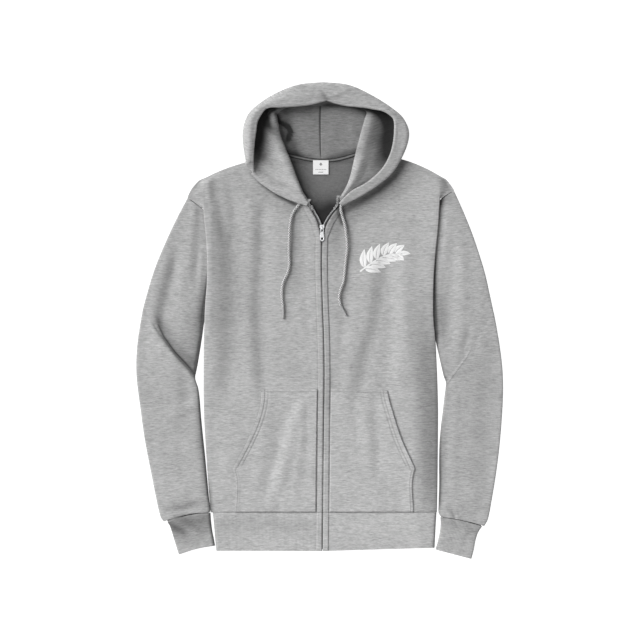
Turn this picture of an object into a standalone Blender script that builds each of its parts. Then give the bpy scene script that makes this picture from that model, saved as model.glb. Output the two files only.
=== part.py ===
"""Zip-up hooded sweatshirt of brushed fleece, laid flat on its back with its front up.

The garment lies in the XY plane on the floor at Z = 0, hem towards -Y and hood towards +Y, and it is seen
from above. Right and left are the wearer's, so the right half is at -X. Lengths here are millimetres, and
build_wall and its neighbours turn them into Blender's metres.

Every cloth piece is a grid of points on the middle of its wall. Solidify gives that grid its thickness.
"""

import math
from collections import namedtuple

import bmesh
import bpy
import numpy as np

MM = 0.001

# ---------------------------------------------------------------- driving sizes, in millimetres
CLOTH = 2.4  # brushed fleece
RIB = 2.6  # folded rib knit of the cuffs and the waistband
POCKET_CLOTH = 2.2
POCKET_GAP = 0.9  # clear space between a pocket and its front
GAP = 0.4  # clear space between two pieces that are sewn or that lie on each other

HEM_SEAM_Y = -365.0  # waistband's upper edge
ZIP_HEM_Y = -438.6  # hem's edge at the zip
SLEEVE_LEVEL = 5.6  # top of a sleeve where the body lies on it
ARMHOLE_BASE = 6.3  # underside of the body's side fold where it lies on the sleeve
FRONT_TOP = 7.4  # top of the front where it lies quietly on the back
SIDE_TOP = 12.6  # top of the front beside its folded side, where a sleeve lies under it
SIDE_LOW = 8.0  # and where the side lies on the floor
SHOULDER_LOW = 4.1  # middle of the front's wall at the shoulder seam
SIDE_ROLL = 5.2  # how far the rounded side fold reaches in from the garment's outline
SIDE_RETURN = 8.0  # flat cloth under the side fold, out to the side seam
WELT_WIDTH = 11.5  # turned and topstitched strip beside the zip
WELT_RISE = 1.5
ZIP_HALF_GAP = 0.75  # from the zip's centre line to a front's edge
TAPE_MID = 3.3
TAPE_THICK = 0.9
CORD_DIAMETER = 5.5

Side = namedtuple("Side", "name sign fold crease_top seam_end underarm drop_end")
# The body's side outline: x at each y. The wearer's right is at -X.
RIGHT_FOLD = ((-372, -207), (-310, -211.8), (-250, -215.8), (-190, -219.4), (-90, -220.8), (-20, -219.6),
              (30, -217.5), (70, -214.5), (115, -213.8), (160, -216.3), (200, -220.3), (245, -222.3),
              (268, -222.6))
LEFT_FOLD = ((-372, 222.6), (-310, 224), (-250, 224.6), (-160, 225), (-90, 222.8), (-28, 219.2), (0, 216.6),
             (45, 215.9), (85, 217), (130, 220.6), (180, 225.6), (225, 228.4), (270, 233.6))
RIGHT = Side("right", -1, RIGHT_FOLD, 267.0, 213.0, 20.0, -35.0)
LEFT = Side("left", 1, LEFT_FOLD, 270.0, 231.0, -28.0, -80.0)

# Centre line of the closed zip: x at each y.
ZIP_LINE = ((-440, 5.2), (-300, 6.4), (-180, 7.6), (-95, 8.5), (-30, 7.5), (40, 5.0), (112, 3.6), (158, 4.4))
# Edges of the fronts above the slider, where the zip stands open.
RIGHT_OPEN = ((158, 3.6), (166, 1.0), (172, -1.2), (184, -4.3), (194, -8.4), (203, -13.5), (211, -17.7),
              (218, -21.2))
LEFT_OPEN = ((158, 5.2), (166, 8.0), (172, 10.2), (181, 13.4), (193, 19.8), (203, 26.6), (213, 35.0),
             (218, 38.6))

# Each front's neck edge, from the end of the zip to the shoulder seam, and its shoulder seam.
RIGHT_NECK = ((-20.1, 216), (-40, 236), (-62, 262), (-80, 290), (-95, 313))
LEFT_NECK = ((37.4, 216), (52, 236), (72, 262), (88, 290), (101, 314))
RIGHT_SHOULDER_SEAM = ((-95, 313), (-140.6, 300.3), (-190, 283.3), (-217.4, 270.2))
LEFT_SHOULDER_SEAM = ((101, 314), (155, 306), (205, 286.7), (228.4, 273.6))
# Where a front goes on past its crease to the armhole seam: crease y, then the outer point.
RIGHT_SHOULDER = ((267, -223.4, 268.4), (262, -229, 265.4), (255, -237, 257.4), (247, -244.6, 247.4),
                  (240, -250.9, 233.9), (230, -243.1, 227.6), (222, -233.4, 220.5), (214, -224.0, 213.6))
LEFT_SHOULDER = ((270, 234.6, 270.8), (264, 241, 266.6), (258, 248.2, 257.4), (252, 254.9, 246.6),
                 (246, 249.6, 243.2), (241, 243.4, 239.7), (236, 237.0, 235.6), (232, 231.6, 231.8))
# The armhole seam, from the shoulder's outer tip under the body to the underarm.
RIGHT_ARMHOLE = ((-251.6, 232.6), (-238, 222.7), (-221.6, 210.8), (-207, 188), (-200.5, 150), (-198, 100),
                 (-201, 60), (-207, 30))
LEFT_ARMHOLE = ((255.8, 245.6), (244, 239.2), (229.4, 229.4), (214, 200), (205, 150), (201, 95), (202, 40),
                (208, -12))


def ease(t):
    """0 below 0, 1 above 1, and a smooth S between."""
    t = np.clip(t, 0.0, 1.0)
    return t * t * (3.0 - 2.0 * t)


def along(rows, at):
    """Values at the given places on a smooth curve through rows of (place, value, ...), in any order."""
    table = np.array(sorted(rows), float)
    knots, values = table[:, 0], table[:, 1:]
    steps = np.diff(knots)[:, None]
    slopes = np.diff(values, axis=0) / steps
    tangents = np.vstack([slopes[:1], slopes[:1].repeat(len(knots) - 2, 0), slopes[-1:]])
    tangents[1:-1] = (slopes[:-1] * steps[1:] + slopes[1:] * steps[:-1]) / (steps[:-1] + steps[1:])
    place = np.clip(np.asarray(at, float), knots[0], knots[-1])
    i = np.clip(np.searchsorted(knots, place, side="right") - 1, 0, len(knots) - 2)
    h = steps[i, 0]
    t = ((place - knots[i]) / h)[..., None]
    h = h[..., None]
    found = (values[i] * (2 * t**3 - 3 * t**2 + 1) + tangents[i] * h * (t**3 - 2 * t**2 + t)
             + values[i + 1] * (3 * t**2 - 2 * t**3) + tangents[i + 1] * h * (t**3 - t**2))
    return found[..., 0] if values.shape[1] == 1 else found


def path(points, at, sharp=()):
    """Points at shares 0..1 of the length of a smooth line through points, with corners at the sharp ones."""
    points = np.array(points, float)
    stops = np.concatenate([[0], np.cumsum(np.linalg.norm(np.diff(points, axis=0), axis=1))])
    stops /= stops[-1]
    ends = [0, *sharp, len(points) - 1]
    at = np.asarray(at, float)
    found = np.zeros((len(at), points.shape[1]))
    for first, last in zip(ends[:-1], ends[1:]):
        inside = (at >= stops[first] - 1e-9) & (at <= stops[last] + 1e-9)
        rows = [(s, *p) for s, p in zip(stops[first:last + 1], points[first:last + 1])]
        found[inside] = along(rows, at[inside])
    return found


# A soft fold along a line in plan: a ridge (height) or trough across it, or a step down (drop) towards +X.
Fold = namedtuple("Fold", "line half_width height drop", defaults=(0.0, 0.0))


def bell(t):
    """1 at 0, falling smoothly to nothing on both sides."""
    return np.exp(-(t ** 2))


def place_by_fold(fold, x, y):
    """Distance beside a fold's line in half widths, above 0 towards +X, and the fade past the line's ends."""
    nearest = np.full(np.shape(x), np.inf)
    beside, past = np.zeros_like(nearest), np.zeros_like(nearest)
    for (x0, y0), (x1, y1) in zip(fold.line[:-1], fold.line[1:]):
        length = math.hypot(x1 - x0, y1 - y0)
        run_x, run_y = (x1 - x0) / length, (y1 - y0) / length
        ahead = (x - x0) * run_x + (y - y0) * run_y
        across = ((x - x0) * -run_y + (y - y0) * run_x) * (1.0 if run_y < 0 else -1.0)
        over = np.maximum(0.0, np.maximum(-ahead, ahead - length))
        closer = np.hypot(across, over) < nearest
        nearest = np.where(closer, np.hypot(across, over), nearest)
        beside, past = np.where(closer, across, beside), np.where(closer, over, past)
    return beside / fold.half_width, bell(past / (2.2 * fold.half_width))


def relief(x, y, folds):
    """Sum of the folds' heights at places in plan."""
    total = np.zeros_like(x)
    for fold in folds:
        beside, fade = place_by_fold(fold, x, y)
        total += (fold.height - 1.17 * fold.drop * beside) * bell(beside) * fade
    return total


# Broad soft folds of the two fronts.
FRONT_FOLDS = (
    Fold(((-204, 262), (-196, 205), (-189, 165)), 14, drop=1.2),
    Fold(((-185, 150), (-180, 100), (-180, 0), (-184, -70)), 27, drop=4.4),
    Fold(((-116, 262), (-121, 120), (-125, 40), (-124, -20), (-118, -110)), 18, drop=2.6),
    Fold(((-92, 200), (-90, 30)), 19, drop=-1.2),
    Fold(((-50, -180), (-62, -215), (-72, -260), (-90, -315)), 22, drop=-1.3),
    Fold(((110, 90), (100, 0), (84, -50), (71, -110)), 20, drop=2.2),
    Fold(((150, 95), (148, 20), (144, -60), (138, -120)), 21, drop=-1.8),
    Fold(((64, 70), (56, 0), (48, -60)), 20, drop=-1.0),
    Fold(((194, -90), (198, -140), (203, -300)), 27, drop=4.2),
    Fold(((96, -165), (104, -262)), 22, drop=1.3),
)


# ---------------------------------------------------------------- the front's upper surface
def zip_edge(side, y):
    """x of a front's zipped edge."""
    y = np.asarray(y, float)
    closed = along(ZIP_LINE, np.minimum(y, 158.0)) + side.sign * ZIP_HALF_GAP
    opened = along(RIGHT_OPEN if side.sign < 0 else LEFT_OPEN, np.maximum(y, 158.0))
    return np.where(y < 158.0, closed, opened)


def edge_stretch(side, y):
    """How much longer a level line across the zip's strip is than the strip's width."""
    return np.hypot(1.0, (zip_edge(side, y + 1.0) - zip_edge(side, y - 1.0)) / 2.0)


def front_top(side, x, y):
    """Height of a front's upper face, away from its rounded side fold."""
    from_zip = np.abs(x - zip_edge(side, y)) / edge_stretch(side, y)
    from_fold = np.abs(along(side.fold, y) - x)
    beside_sleeve = ease((y - side.drop_end) / (side.underarm - side.drop_end))
    near_band = ease((HEM_SEAM_Y + 40.0 - y) / 40.0)
    side_top = SIDE_LOW + (SIDE_TOP - SIDE_LOW) * beside_sleeve - 0.4 * near_band
    height = FRONT_TOP + (side_top - FRONT_TOP) * np.exp(-((from_fold / 34.0) ** 2))
    under_hood = ease((y - 205.0) / 30.0) * ease((from_fold - 30.0) / 40.0)
    height += relief(x, y, FRONT_FOLDS) * ease(from_zip / 40.0) * (1.0 - under_hood)
    strip = ease(from_zip / 2.5) * ease((WELT_WIDTH - from_zip) / 2.5) * (1.0 - under_hood)
    return height + WELT_RISE * strip


def front_grid(side):
    """The middle of a front's wall, from the zipped edge across the chest and round its side fold."""
    creases = RIGHT_SHOULDER if side.sign < 0 else LEFT_SHOULDER
    shares = np.array([0, 12, 30, 60, 100, 145, 190, 235, 280, 320, 355, 390, 425, 460, 490, 515, 535, 553,
                       567]) / 580.0
    fold_y = np.concatenate([HEM_SEAM_Y + shares * (side.seam_end - HEM_SEAM_Y),
                             [side.seam_end - 4.0], sorted(row[0] for row in creases)])
    zip_y = HEM_SEAM_Y + np.array([0, 12, 30, 60, 98, 140, 182, 224, 266, 304, 340, 374, 406, 436, 462, 484,
                                   500, 516, 528, 540, 552, 564, 574])
    neck = path(RIGHT_NECK if side.sign < 0 else LEFT_NECK, np.array([0.0, 0.22, 0.46, 0.72, 1.0]))
    start = np.concatenate([np.stack([zip_edge(side, zip_y), zip_y], axis=1), neck])
    end = np.stack([along(side.fold, fold_y) - side.sign * SIDE_ROLL, fold_y], axis=1)
    width = np.linalg.norm(end - start, axis=1)
    near = np.array([0.0, 2.2, 6.0, 9.5, 12.0]) * edge_stretch(side, start[:, 1])[:, None] / width[:, None]
    wide = near[:, -1:] + (1 - near[:, -1:]) * np.linspace(0, 1, 9)[None, 1:]
    across = np.concatenate([near, wide], axis=1)
    plan = start[:, None] + (end - start)[:, None] * across[..., None]
    seam = path(RIGHT_SHOULDER_SEAM if side.sign < 0 else LEFT_SHOULDER_SEAM, across[-1])
    lift = ease((fold_y - side.seam_end + 60.0) / (side.crease_top - side.seam_end + 60.0))
    plan = plan + (seam - plan[-1])[None] * lift[:, None, None]
    x, y = plan[..., 0], plan[..., 1]
    height = front_top(side, x, y) - CLOTH / 2
    to_shoulder = np.linalg.norm(plan - plan[-1][None], axis=2)
    height -= (height - SHOULDER_LOW) * (1.0 - ease(to_shoulder / 14.0 + 0.12))
    panel = np.dstack([x, y, height])
    return np.concatenate([panel, side_fold(side, panel[:, -1], fold_y)], axis=1)


def side_fold(side, rim, fold_y):
    """Columns past a front's rim: round the side and back under it, or out to the armhole seam above."""
    base = ARMHOLE_BASE * ease((fold_y - side.drop_end) / (side.underarm - side.drop_end))
    grown = ease((side.seam_end - fold_y) / 30.0)[:, None]
    low = base[:, None] + CLOTH / 2
    half = np.maximum((rim[:, 2:] - low) / 2, 1.5)
    reach = np.minimum(SIDE_ROLL - CLOTH / 2, 1.35 * half)
    under = 1 - ease((fold_y - side.seam_end) / 20.0)[:, None]
    rim[:, :1] += side.sign * (SIDE_ROLL - CLOTH / 2 - reach) * under
    turns = np.radians(90 + 90 * grown) * np.array([0.2, 0.4, 0.6, 0.8, 1.0])
    around = np.stack([
        rim[:, :1] + side.sign * reach * np.sin(turns),
        rim[:, 1:2] + 0 * turns,
        rim[:, 2:] - half * (1 - np.cos(turns)),
    ], axis=2)
    back = np.repeat(around[:, -1:], 2, axis=1)
    flat = (0.15 + 0.85 * grown) * SIDE_RETURN * np.array([0.5, 1.0])
    back[..., 0] -= side.sign * flat * grown
    back[..., 2] = np.maximum(back[..., 2] - (1 - grown) * flat, low)
    hook = np.concatenate([around, back], axis=1)
    outer = along(RIGHT_SHOULDER if side.sign < 0 else LEFT_SHOULDER, fold_y)
    shares = np.array([0.14, 0.28, 0.42, 0.56, 0.7, 0.85, 1.0])
    clear_sleeve = ARMHOLE_BASE + CLOTH / 2 - SHOULDER_LOW - 1.0
    rest = SHOULDER_LOW + 1.0 + clear_sleeve * (1.0 - ease((fold_y - side.seam_end) / 18.0))
    ends = np.column_stack([outer, rest])
    out = rim[:, None] + (ends - rim)[:, None] * shares[None, :, None]
    out[..., 2] = rim[:, 2:] + (ends - rim)[:, 2:] * ease(shares * 1.25)
    return np.where((fold_y > side.seam_end)[:, None, None], out, hook)


# ---------------------------------------------------------------- back
def back_side(side, y):
    """x of the back's side edge: inside the front's return, and inside the armhole seam above it."""
    inset = SIDE_ROLL + SIDE_RETURN + GAP
    below = along(side.fold, y) - side.sign * inset
    armhole = np.array(RIGHT_ARMHOLE if side.sign < 0 else LEFT_ARMHOLE)
    above = along([(py, px) for px, py in armhole], y) - side.sign * 3.0
    inner = np.minimum(np.abs(below), np.abs(above)) * side.sign
    return np.where(y < armhole[-1, 1] - 6, below, np.where(y > 120, above, inner))


def back_grid():
    """The middle of the back's wall, flat on the floor, from the waistband seam to the shoulders and neck."""
    rows = np.array([0, 120, 250, 330, 362, 385, 410, 450, 490, 520, 545, 566, 584, 600]) / 600.0
    right_y = HEM_SEAM_Y + rows * (232.0 - HEM_SEAM_Y)
    left_y = HEM_SEAM_Y + rows * (244.0 - HEM_SEAM_Y)
    start = np.stack([back_side(RIGHT, right_y), right_y - 0.5 * (rows > 0.9)], axis=1)
    end = np.stack([back_side(LEFT, left_y), left_y - 0.5 * (rows > 0.9)], axis=1)
    across = np.linspace(0, 1, 19)
    plan = start[:, None] + (end - start)[:, None] * across[None, :, None]
    top = (start[-1], (-249.4, 238), (-242, 249), (-230, 261.5), (-219, 269.4), (-190, 281), (-140.6, 298),
           (-96, 313.2), (-62, 312.6), (-38, 306.8), (2, 301.6), (47, 306.8), (67, 312.6), (102, 314.2),
           (155, 303.8), (205, 284.4), (222, 276), (236, 266.5), (247, 256), (252, 250), end[-1])
    edge = path(top, across, sharp=(7, 13))
    lift = ease((rows - 0.55) / 0.45) ** 1.2
    plan = plan + (edge - plan[-1])[None] * lift[:, None, None]
    return np.dstack([plan[..., 0], plan[..., 1], np.full(plan.shape[:2], CLOTH / 2)])


# ---------------------------------------------------------------- sleeves and cuffs
Section = namedtuple("Section", "outer_x outer_y inner_x inner_y bow top fold")
# One row for each ring: its outer and inner ends, how far its middle bows towards the hem, the height of its
# upper face, and how much of the elbow's fold it carries.
RIGHT_SLEEVE = (
    Section(-251.6, 232.6, -207, 30, 0, 6.8, 0), Section(-263, 211, -212, 25, 0, 7.6, 0),
    Section(-279, 179, -217, 14, 0, 8.2, 0), Section(-295, 143.5, -220.8, -8, 0, 8.6, 0),
    Section(-309, 110, -224.2, -33, 1, 8.8, 0), Section(-320.5, 77, -228, -58, 2, 8.6, 0),
    Section(-329.5, 46, -232.2, -83, 4, 8.2, 0), Section(-334, 30, -235.4, -99, 5, 8.0, 0),
    Section(-335.5, 24, -236.8, -105, 5, 8.0, 0.25), Section(-337, 17, -237, -111.5, 5, 8.6, 1.0),
    Section(-340.6, -4, -235, -119, 5, 9.0, 0.85), Section(-345.6, -36, -231, -131, 4, 9.0, 0.5),
    Section(-348.6, -74, -228, -152, 2, 8.8, 0.2), Section(-347.6, -112, -225.8, -180, 0, 8.6, 0.05),
    Section(-341, -165, -222.4, -215, 0, 8.6, 0), Section(-332.6, -226, -218.4, -252, 0, 8.6, 0),
    Section(-322, -282, -214.4, -294, 0, 8.6, 0), Section(-311, -338, -210.6, -335, 0, 8.8, 0),
    Section(-303.4, -371, -208, -358, 0, 8.6, 0), Section(-297, -382.6, -209.4, -365.4, -5, 7.4, 0),
)
LEFT_SLEEVE = (
    Section(255.8, 245.6, 208, -12, 0, 6.8, 0), Section(266, 223, 212, -18, 0, 7.6, 0),
    Section(279, 192, 217, -26, 0, 8.2, 0), Section(292, 158, 221, -40, 0, 8.6, 0),
    Section(304, 122, 225, -57, 1, 8.8, 0), Section(314, 89, 228.5, -73, 2, 8.8, 0),
    Section(323, 50, 232.4, -90, 4, 8.4, 0), Section(328.6, 25, 236.6, -107, 7, 8.2, 0),
    Section(330.2, 18, 239.4, -114, 7.5, 8.2, 0), Section(331.8, 11, 240.8, -121, 7.5, 8.6, 0),
    Section(336.6, -14, 239.6, -131, 6, 8.8, 0), Section(342.4, -50, 237, -149, 3, 8.8, 0),
    Section(347, -89, 234, -175, 1, 8.8, 0), Section(348.5, -130, 230.6, -203, 0, 8.6, 0),
    Section(346.8, -176, 228, -233, 0, 8.6, 0), Section(342.4, -232, 227, -271, 0, 8.6, 0),
    Section(336, -286, 227.2, -311, 0, 8.6, 0), Section(327.6, -338, 226.2, -347, 0, 8.8, 0),
    Section(320.4, -376, 226, -365, 0, 8.6, 0), Section(313, -391, 231, -373.4, -2, 7.4, 0),
)
RIGHT_CUFF = (
    Section(-289.6, -384.4, -207.6, -366.6, -5, 7.4, 0), Section(-284.6, -392, -206.6, -380, -2, 8.4, 0),
    Section(-279, -409, -204.2, -400, 0, 8.6, 0), Section(-273, -429, -201.2, -415, 0, 8.4, 0),
    Section(-268, -445.4, -199, -428.4, -2.5, 8.0, 0),
)
LEFT_CUFF = (
    Section(309, -391.6, 229.6, -374.4, -2, 7.4, 0), Section(301.4, -403, 230, -386, -1, 8.4, 0),
    Section(296.4, -418, 228.4, -402, 0, 8.6, 0), Section(293, -436, 225, -419, 0, 8.4, 0),
    Section(288.4, -453.4, 220.4, -435.6, 0, 8.0, 0),
)
SLEEVE_FOLDS = (
    Fold(((-284, 100), (-296, 58), (-303, 24), (-305, 12)), 14, height=-0.6, drop=2.6),
    Fold(((-268, 120), (-271, 40), (-266, 0)), 13, drop=-1.4),
    Fold(((-232, 205), (-236, 150), (-241, 100)), 11, drop=2.0),
    Fold(((-264, -92), (-262, -140)), 20, drop=2.4),
    Fold(((262, 110), (258, 0), (256, -30)), 16, drop=-2.0),
    Fold(((318, 60), (322, -60)), 20, drop=1.4),
    Fold(((308, -130), (306, -290)), 20, drop=1.2),
)


def tube(sections, side, wall, armhole=None, folds=()):
    """A flattened tube's middle surface, one ring for each section, closed round in its second direction.

    A ring runs over the top from its outer end to its inner end, round that edge, and back along the floor.
    """
    s = Section(*np.array(sections, float).T)
    outer, inner = np.stack([s.outer_x, s.outer_y], 1), np.stack([s.inner_x, s.inner_y], 1)
    run = inner - outer
    width = np.linalg.norm(run, axis=1)
    roll = 5.0
    shares = np.array([0.0, 0.05, 0.13, 0.24, 0.36, 0.48, 0.6, 0.72, 0.83, 0.92, 1.0])
    across = (roll + (width[:, None] - 2 * roll) * shares[None]) / width[:, None]
    plan = outer[:, None] + run[:, None] * across[..., None]
    plan[..., 1] -= s.bow[:, None] * np.sin(np.pi * across)
    if armhole is not None:
        seam = path(armhole, across[0])
        fade = np.zeros(len(s.bow))
        fade[:6] = (1.0, 0.82, 0.6, 0.36, 0.16, 0.04)
        plan += (seam - plan[0])[None] * fade[:, None, None]
    x, y = plan[..., 0], plan[..., 1]
    top = s.top[:, None] * (0.93 + 0.07 * np.sin(np.pi * across)) + relief(x, y, folds)
    top += 6.5 * s.fold[:, None] * ease((across - 0.12) / 0.3) * ease((1.12 - across) / 0.25)
    if armhole is not None:
        clear = ease((np.abs(x) - np.abs(along(side.fold, y)) - 1.0) / 14.0)
        beside = ease((y - side.underarm + 32.0) / 16.0)
        hidden = np.minimum(top, SLEEVE_LEVEL)
        top = top + (hidden - top) * beside * (1 - clear)
    height = top - wall / 2
    upper = np.dstack([plan, height])
    low = wall / 2

    def turn(column, beside, angles):
        """Points round the tube's edge, past the given column of the upper face."""
        away = upper[:, column, :2] - upper[:, beside, :2]
        away /= np.linalg.norm(away, axis=1, keepdims=True)
        half = (upper[:, column, 2] - low) / 2
        reach = np.minimum(roll - wall / 2, 1.35 * half)
        upper[:, column, :2] += away * (roll - wall / 2 - reach)[:, None]
        middle = upper[:, column] - [0, 0, 1] * half[:, None]
        aside = np.column_stack([away * reach[:, None], 0 * half])
        return middle[:, None] + aside[:, None] * np.sin(angles)[None, :, None] \
            + [0, 0, 1] * half[:, None, None] * np.cos(angles)[None, :, None]

    angles = np.radians([50, 90, 130])
    inner_turn = turn(-1, -2, angles)
    outer_turn = turn(0, 1, angles[::-1])
    floor = upper[:, ::-1][:, [0, 2, 4, 6, 8, 10]].copy()
    floor[..., 2] = low
    return np.concatenate([upper, inner_turn, floor, outer_turn], axis=1)


# ---------------------------------------------------------------- waistband
def waistband_grid():
    """The waistband's middle surface: over the top from the zip, under the back, and up to the zip again."""
    rows = np.array([0.0, 0.16, 0.5, 0.84, 1.0])
    shares = np.array([0, 0.02, 0.05, 0.1, 0.2, 0.36, 0.52, 0.68, 0.84, 1.0])
    top_y = HEM_SEAM_Y - GAP
    halves = []
    for side, seam_x, hem_x, hem_y in ((RIGHT, -203.6, -196.6, -437.9), (LEFT, 222.2, 218.4, -432.4)):
        edge_x = seam_x + (hem_x - seam_x) * rows**0.8
        zip_x = zip_edge(side, top_y + (ZIP_HEM_Y - top_y) * rows)
        inner_x = edge_x - side.sign * SIDE_ROLL
        x = zip_x[:, None] + (inner_x - zip_x)[:, None] * shares[None]
        y = top_y + (ZIP_HEM_Y + (hem_y - ZIP_HEM_Y) * shares[None] - top_y) * rows[:, None]
        from_zip, from_side = np.abs(x - zip_x[:, None]), np.abs(x - edge_x[:, None])
        top = FRONT_TOP + 2.0 * np.exp(-((from_side / 36.0) ** 2)) - 0.6 * (1 - ease(rows / 0.16))[:, None]
        top = top - 0.8 * ease((rows[:, None] - 0.84) / 0.16)
        top = top + WELT_RISE * ease(from_zip / 2.5) * ease((WELT_WIDTH - from_zip) / 2.5)
        upper = np.dstack([x, y, top - RIB / 2])
        angles = np.radians([45, 90, 135, 180])
        half = (upper[:, -1, 2] - RIB / 2) / 2
        turn = np.stack([
            inner_x[:, None] + side.sign * (SIDE_ROLL - RIB / 2) * np.sin(angles),
            y[:, -1:] + 0 * angles,
            (upper[:, -1, 2] - half)[:, None] + half[:, None] * np.cos(angles),
        ], axis=2)
        halves.append(np.concatenate([upper, turn], axis=1))
    right, left = halves
    bridge = right[:, -1:] + (left[:, -1:] - right[:, -1:]) * np.array([0.2, 0.4, 0.6, 0.8])[None, :, None]
    return np.concatenate([right, bridge, left[:, ::-1]], axis=1)


# ---------------------------------------------------------------- pockets
# Outer edge of each pocket: x at each y from the waistband up, with the hand opening's two corners.
RIGHT_POCKET = ((-161, -364), (-162.4, -290), (-165.6, -281), (-141, -235), (-120.6, -188), (-112, -150),
                (-111.6, -131.6))
LEFT_POCKET = ((177.6, -364), (178, -290), (180.6, -281), (153.4, -220), (138.6, -173.5), (130.6, -145),
               (128.6, -133.6))


def pocket_grid(side):
    """A pocket's middle surface, made from the front's points and moved out from them."""
    edge = RIGHT_POCKET if side.sign < 0 else LEFT_POCKET
    rows = np.array([0, 0.14, 0.26, 0.32, 0.345, 0.42, 0.52, 0.62, 0.72, 0.82, 0.92, 1.0])
    line = path(edge, rows, sharp=(2,))
    inner_y = -364.0 + rows * (364.0 - 130.6)
    inner_x = zip_edge(side, inner_y) + side.sign * (WELT_WIDTH + 0.8)
    inner = np.stack([inner_x, inner_y], axis=1)
    shares = np.array([0, 0.04, 0.2, 0.36, 0.52, 0.68, 0.82, 0.92, 1.0])
    plan = inner[:, None] + (line - inner)[:, None] * shares[None, :, None]
    x, y = plan[..., 0], plan[..., 1]
    return np.dstack([x, y, front_top(side, x, y) + POCKET_GAP + POCKET_CLOTH / 2])


# ---------------------------------------------------------------- hood
Hood = namedtuple("Hood", "v rim_x rim_y rim_z out_x out_y out_z low_z roll_x roll_y roll_z foot_z "
                          "seam_x seam_y seam_z")
# One row for each section of a hood panel, from the front of the neck (v = 0) to the centre seam (v = 1):
# its front edge (rim), its outline, the lowest cloth between outline and roll, the inner edge of the roll
# over the neck, the foot of that roll, and the neck seam.
RIGHT_HOOD = (
    Hood(0.00, -23.8, 218.4, 15.8, -22.8, 219.2, 16.2, 16.4, -22.4, 221.6, 15.8, 13.8, -21.8, 223.6, 12.4),
    Hood(0.07, -44, 225.4, 16.0, -42.6, 227.8, 16.8, 17.4, -30.0, 236.5, 20.0, 14.6, -34.5, 238.5, 11.6),
    Hood(0.15, -64.5, 233.4, 12.2, -62.5, 236.0, 13.6, 15.0, -35.6, 249, 24.5, 14.4, -45.0, 248, 11.2),
    Hood(0.26, -96.5, 251.6, 12.4, -94.1, 254.0, 13.2, 13.8, -46.0, 274, 27.5, 14.4, -66, 271, 11.0),
    Hood(0.32, -116.0, 269.0, 14.0, -114.2, 271.2, 14.6, 12.8, -51.0, 288, 28.5, 14.0, -75, 285, 10.7),
    Hood(0.37, -128.0, 291.0, 20.4, -134.6, 288.0, 18.5, 12.0, -56.0, 301, 29.5, 13.6, -84, 297, 10.4),
    Hood(0.45, -130.0, 304, 29.0, -139.4, 304, 22.0, 10.0, -64.0, 320, 29.0, 10.6, -95, 317.4, 6.4),
    Hood(0.60, -126.5, 356, 34.0, -144.2, 357, 23.0, 1.2, -76.5, 355, 25.0, 1.4, -61, 314.2, 1.2),
    Hood(0.74, -115.0, 395, 34.0, -130, 395, 22.0, 1.2, -82.0, 391, 17.0, 1.3, -42, 309.8, 1.2),
    Hood(0.84, -72, 404.0, 33.0, -87, 426.2, 21.0, 1.2, -56.0, 408, 7.0, 1.2, -25, 306.0, 1.2),
    Hood(0.93, -28, 407.8, 32.0, -37, 445.2, 21.0, 1.2, -24.0, 414, 2.6, 1.2, -10, 304.0, 1.2),
    Hood(1.00, 13.0, 416.6, 31.0, 7.6, 449.4, 21.0, 1.2, 2.4, 416, 1.9, 1.2, 1.8, 303.2, 1.2),
)
LEFT_HOOD = (
    Hood(0.00, 39.0, 219.5, 18.0, 41.0, 217.8, 16.2, 15.0, 39.4, 229.0, 17.4, 14.0, 38.0, 233.5, 12.4),
    Hood(0.07, 48.6, 230.4, 21.4, 58.0, 225.6, 18.5, 14.0, 42.6, 237.4, 21.0, 14.0, 48.0, 238, 11.4),
    Hood(0.15, 62.0, 242.6, 24.0, 76.0, 234.8, 21.0, 12.4, 48.4, 247, 25.0, 14.4, 58.0, 249, 11.2),
    Hood(0.26, 93.5, 260.6, 26.6, 109.0, 255.6, 23.0, 12.2, 57.6, 268, 27.5, 14.4, 76.0, 272, 11.0),
    Hood(0.37, 119.4, 287, 28.0, 139.6, 281.2, 25.0, 12.0, 64.6, 295, 29.5, 13.6, 92.0, 298, 10.4),
    Hood(0.45, 131.6, 310, 29.4, 156.6, 308.4, 26.5, 10.0, 70.6, 320, 29.0, 10.6, 103.0, 318.0, 6.4),
    Hood(0.60, 143.5, 360, 32.0, 168.0, 357.0, 28.5, 1.2, 81.4, 361, 25.0, 1.4, 66.0, 314.8, 1.2),
    Hood(0.74, 132.0, 391, 32.4, 149.8, 390.6, 28.0, 1.2, 90.0, 395, 17.0, 1.3, 46.0, 310.0, 1.2),
    Hood(0.84, 92.0, 402.6, 32.0, 103.4, 422.4, 26.0, 1.2, 62.0, 408, 7.0, 1.2, 29.0, 306.0, 1.2),
    Hood(0.93, 44.0, 408.4, 31.4, 52.4, 444.2, 24.0, 1.2, 28.0, 414, 2.6, 1.2, 13.6, 304.0, 1.2),
    Hood(1.00, 13.6, 416.6, 31.0, 8.2, 449.4, 21.0, 1.2, 3.0, 416, 1.9, 1.2, 2.4, 303.2, 1.2),
)


ROLL_UNDERCUT = 2.4  # how far the roll's foot is drawn in under its edge
ROLL_SLOPE = 10.0  # and how far it runs out where there is no roll
ROLL_STEP = 5.0  # how far the cloth goes in from the foot before it turns to the neck seam


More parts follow.
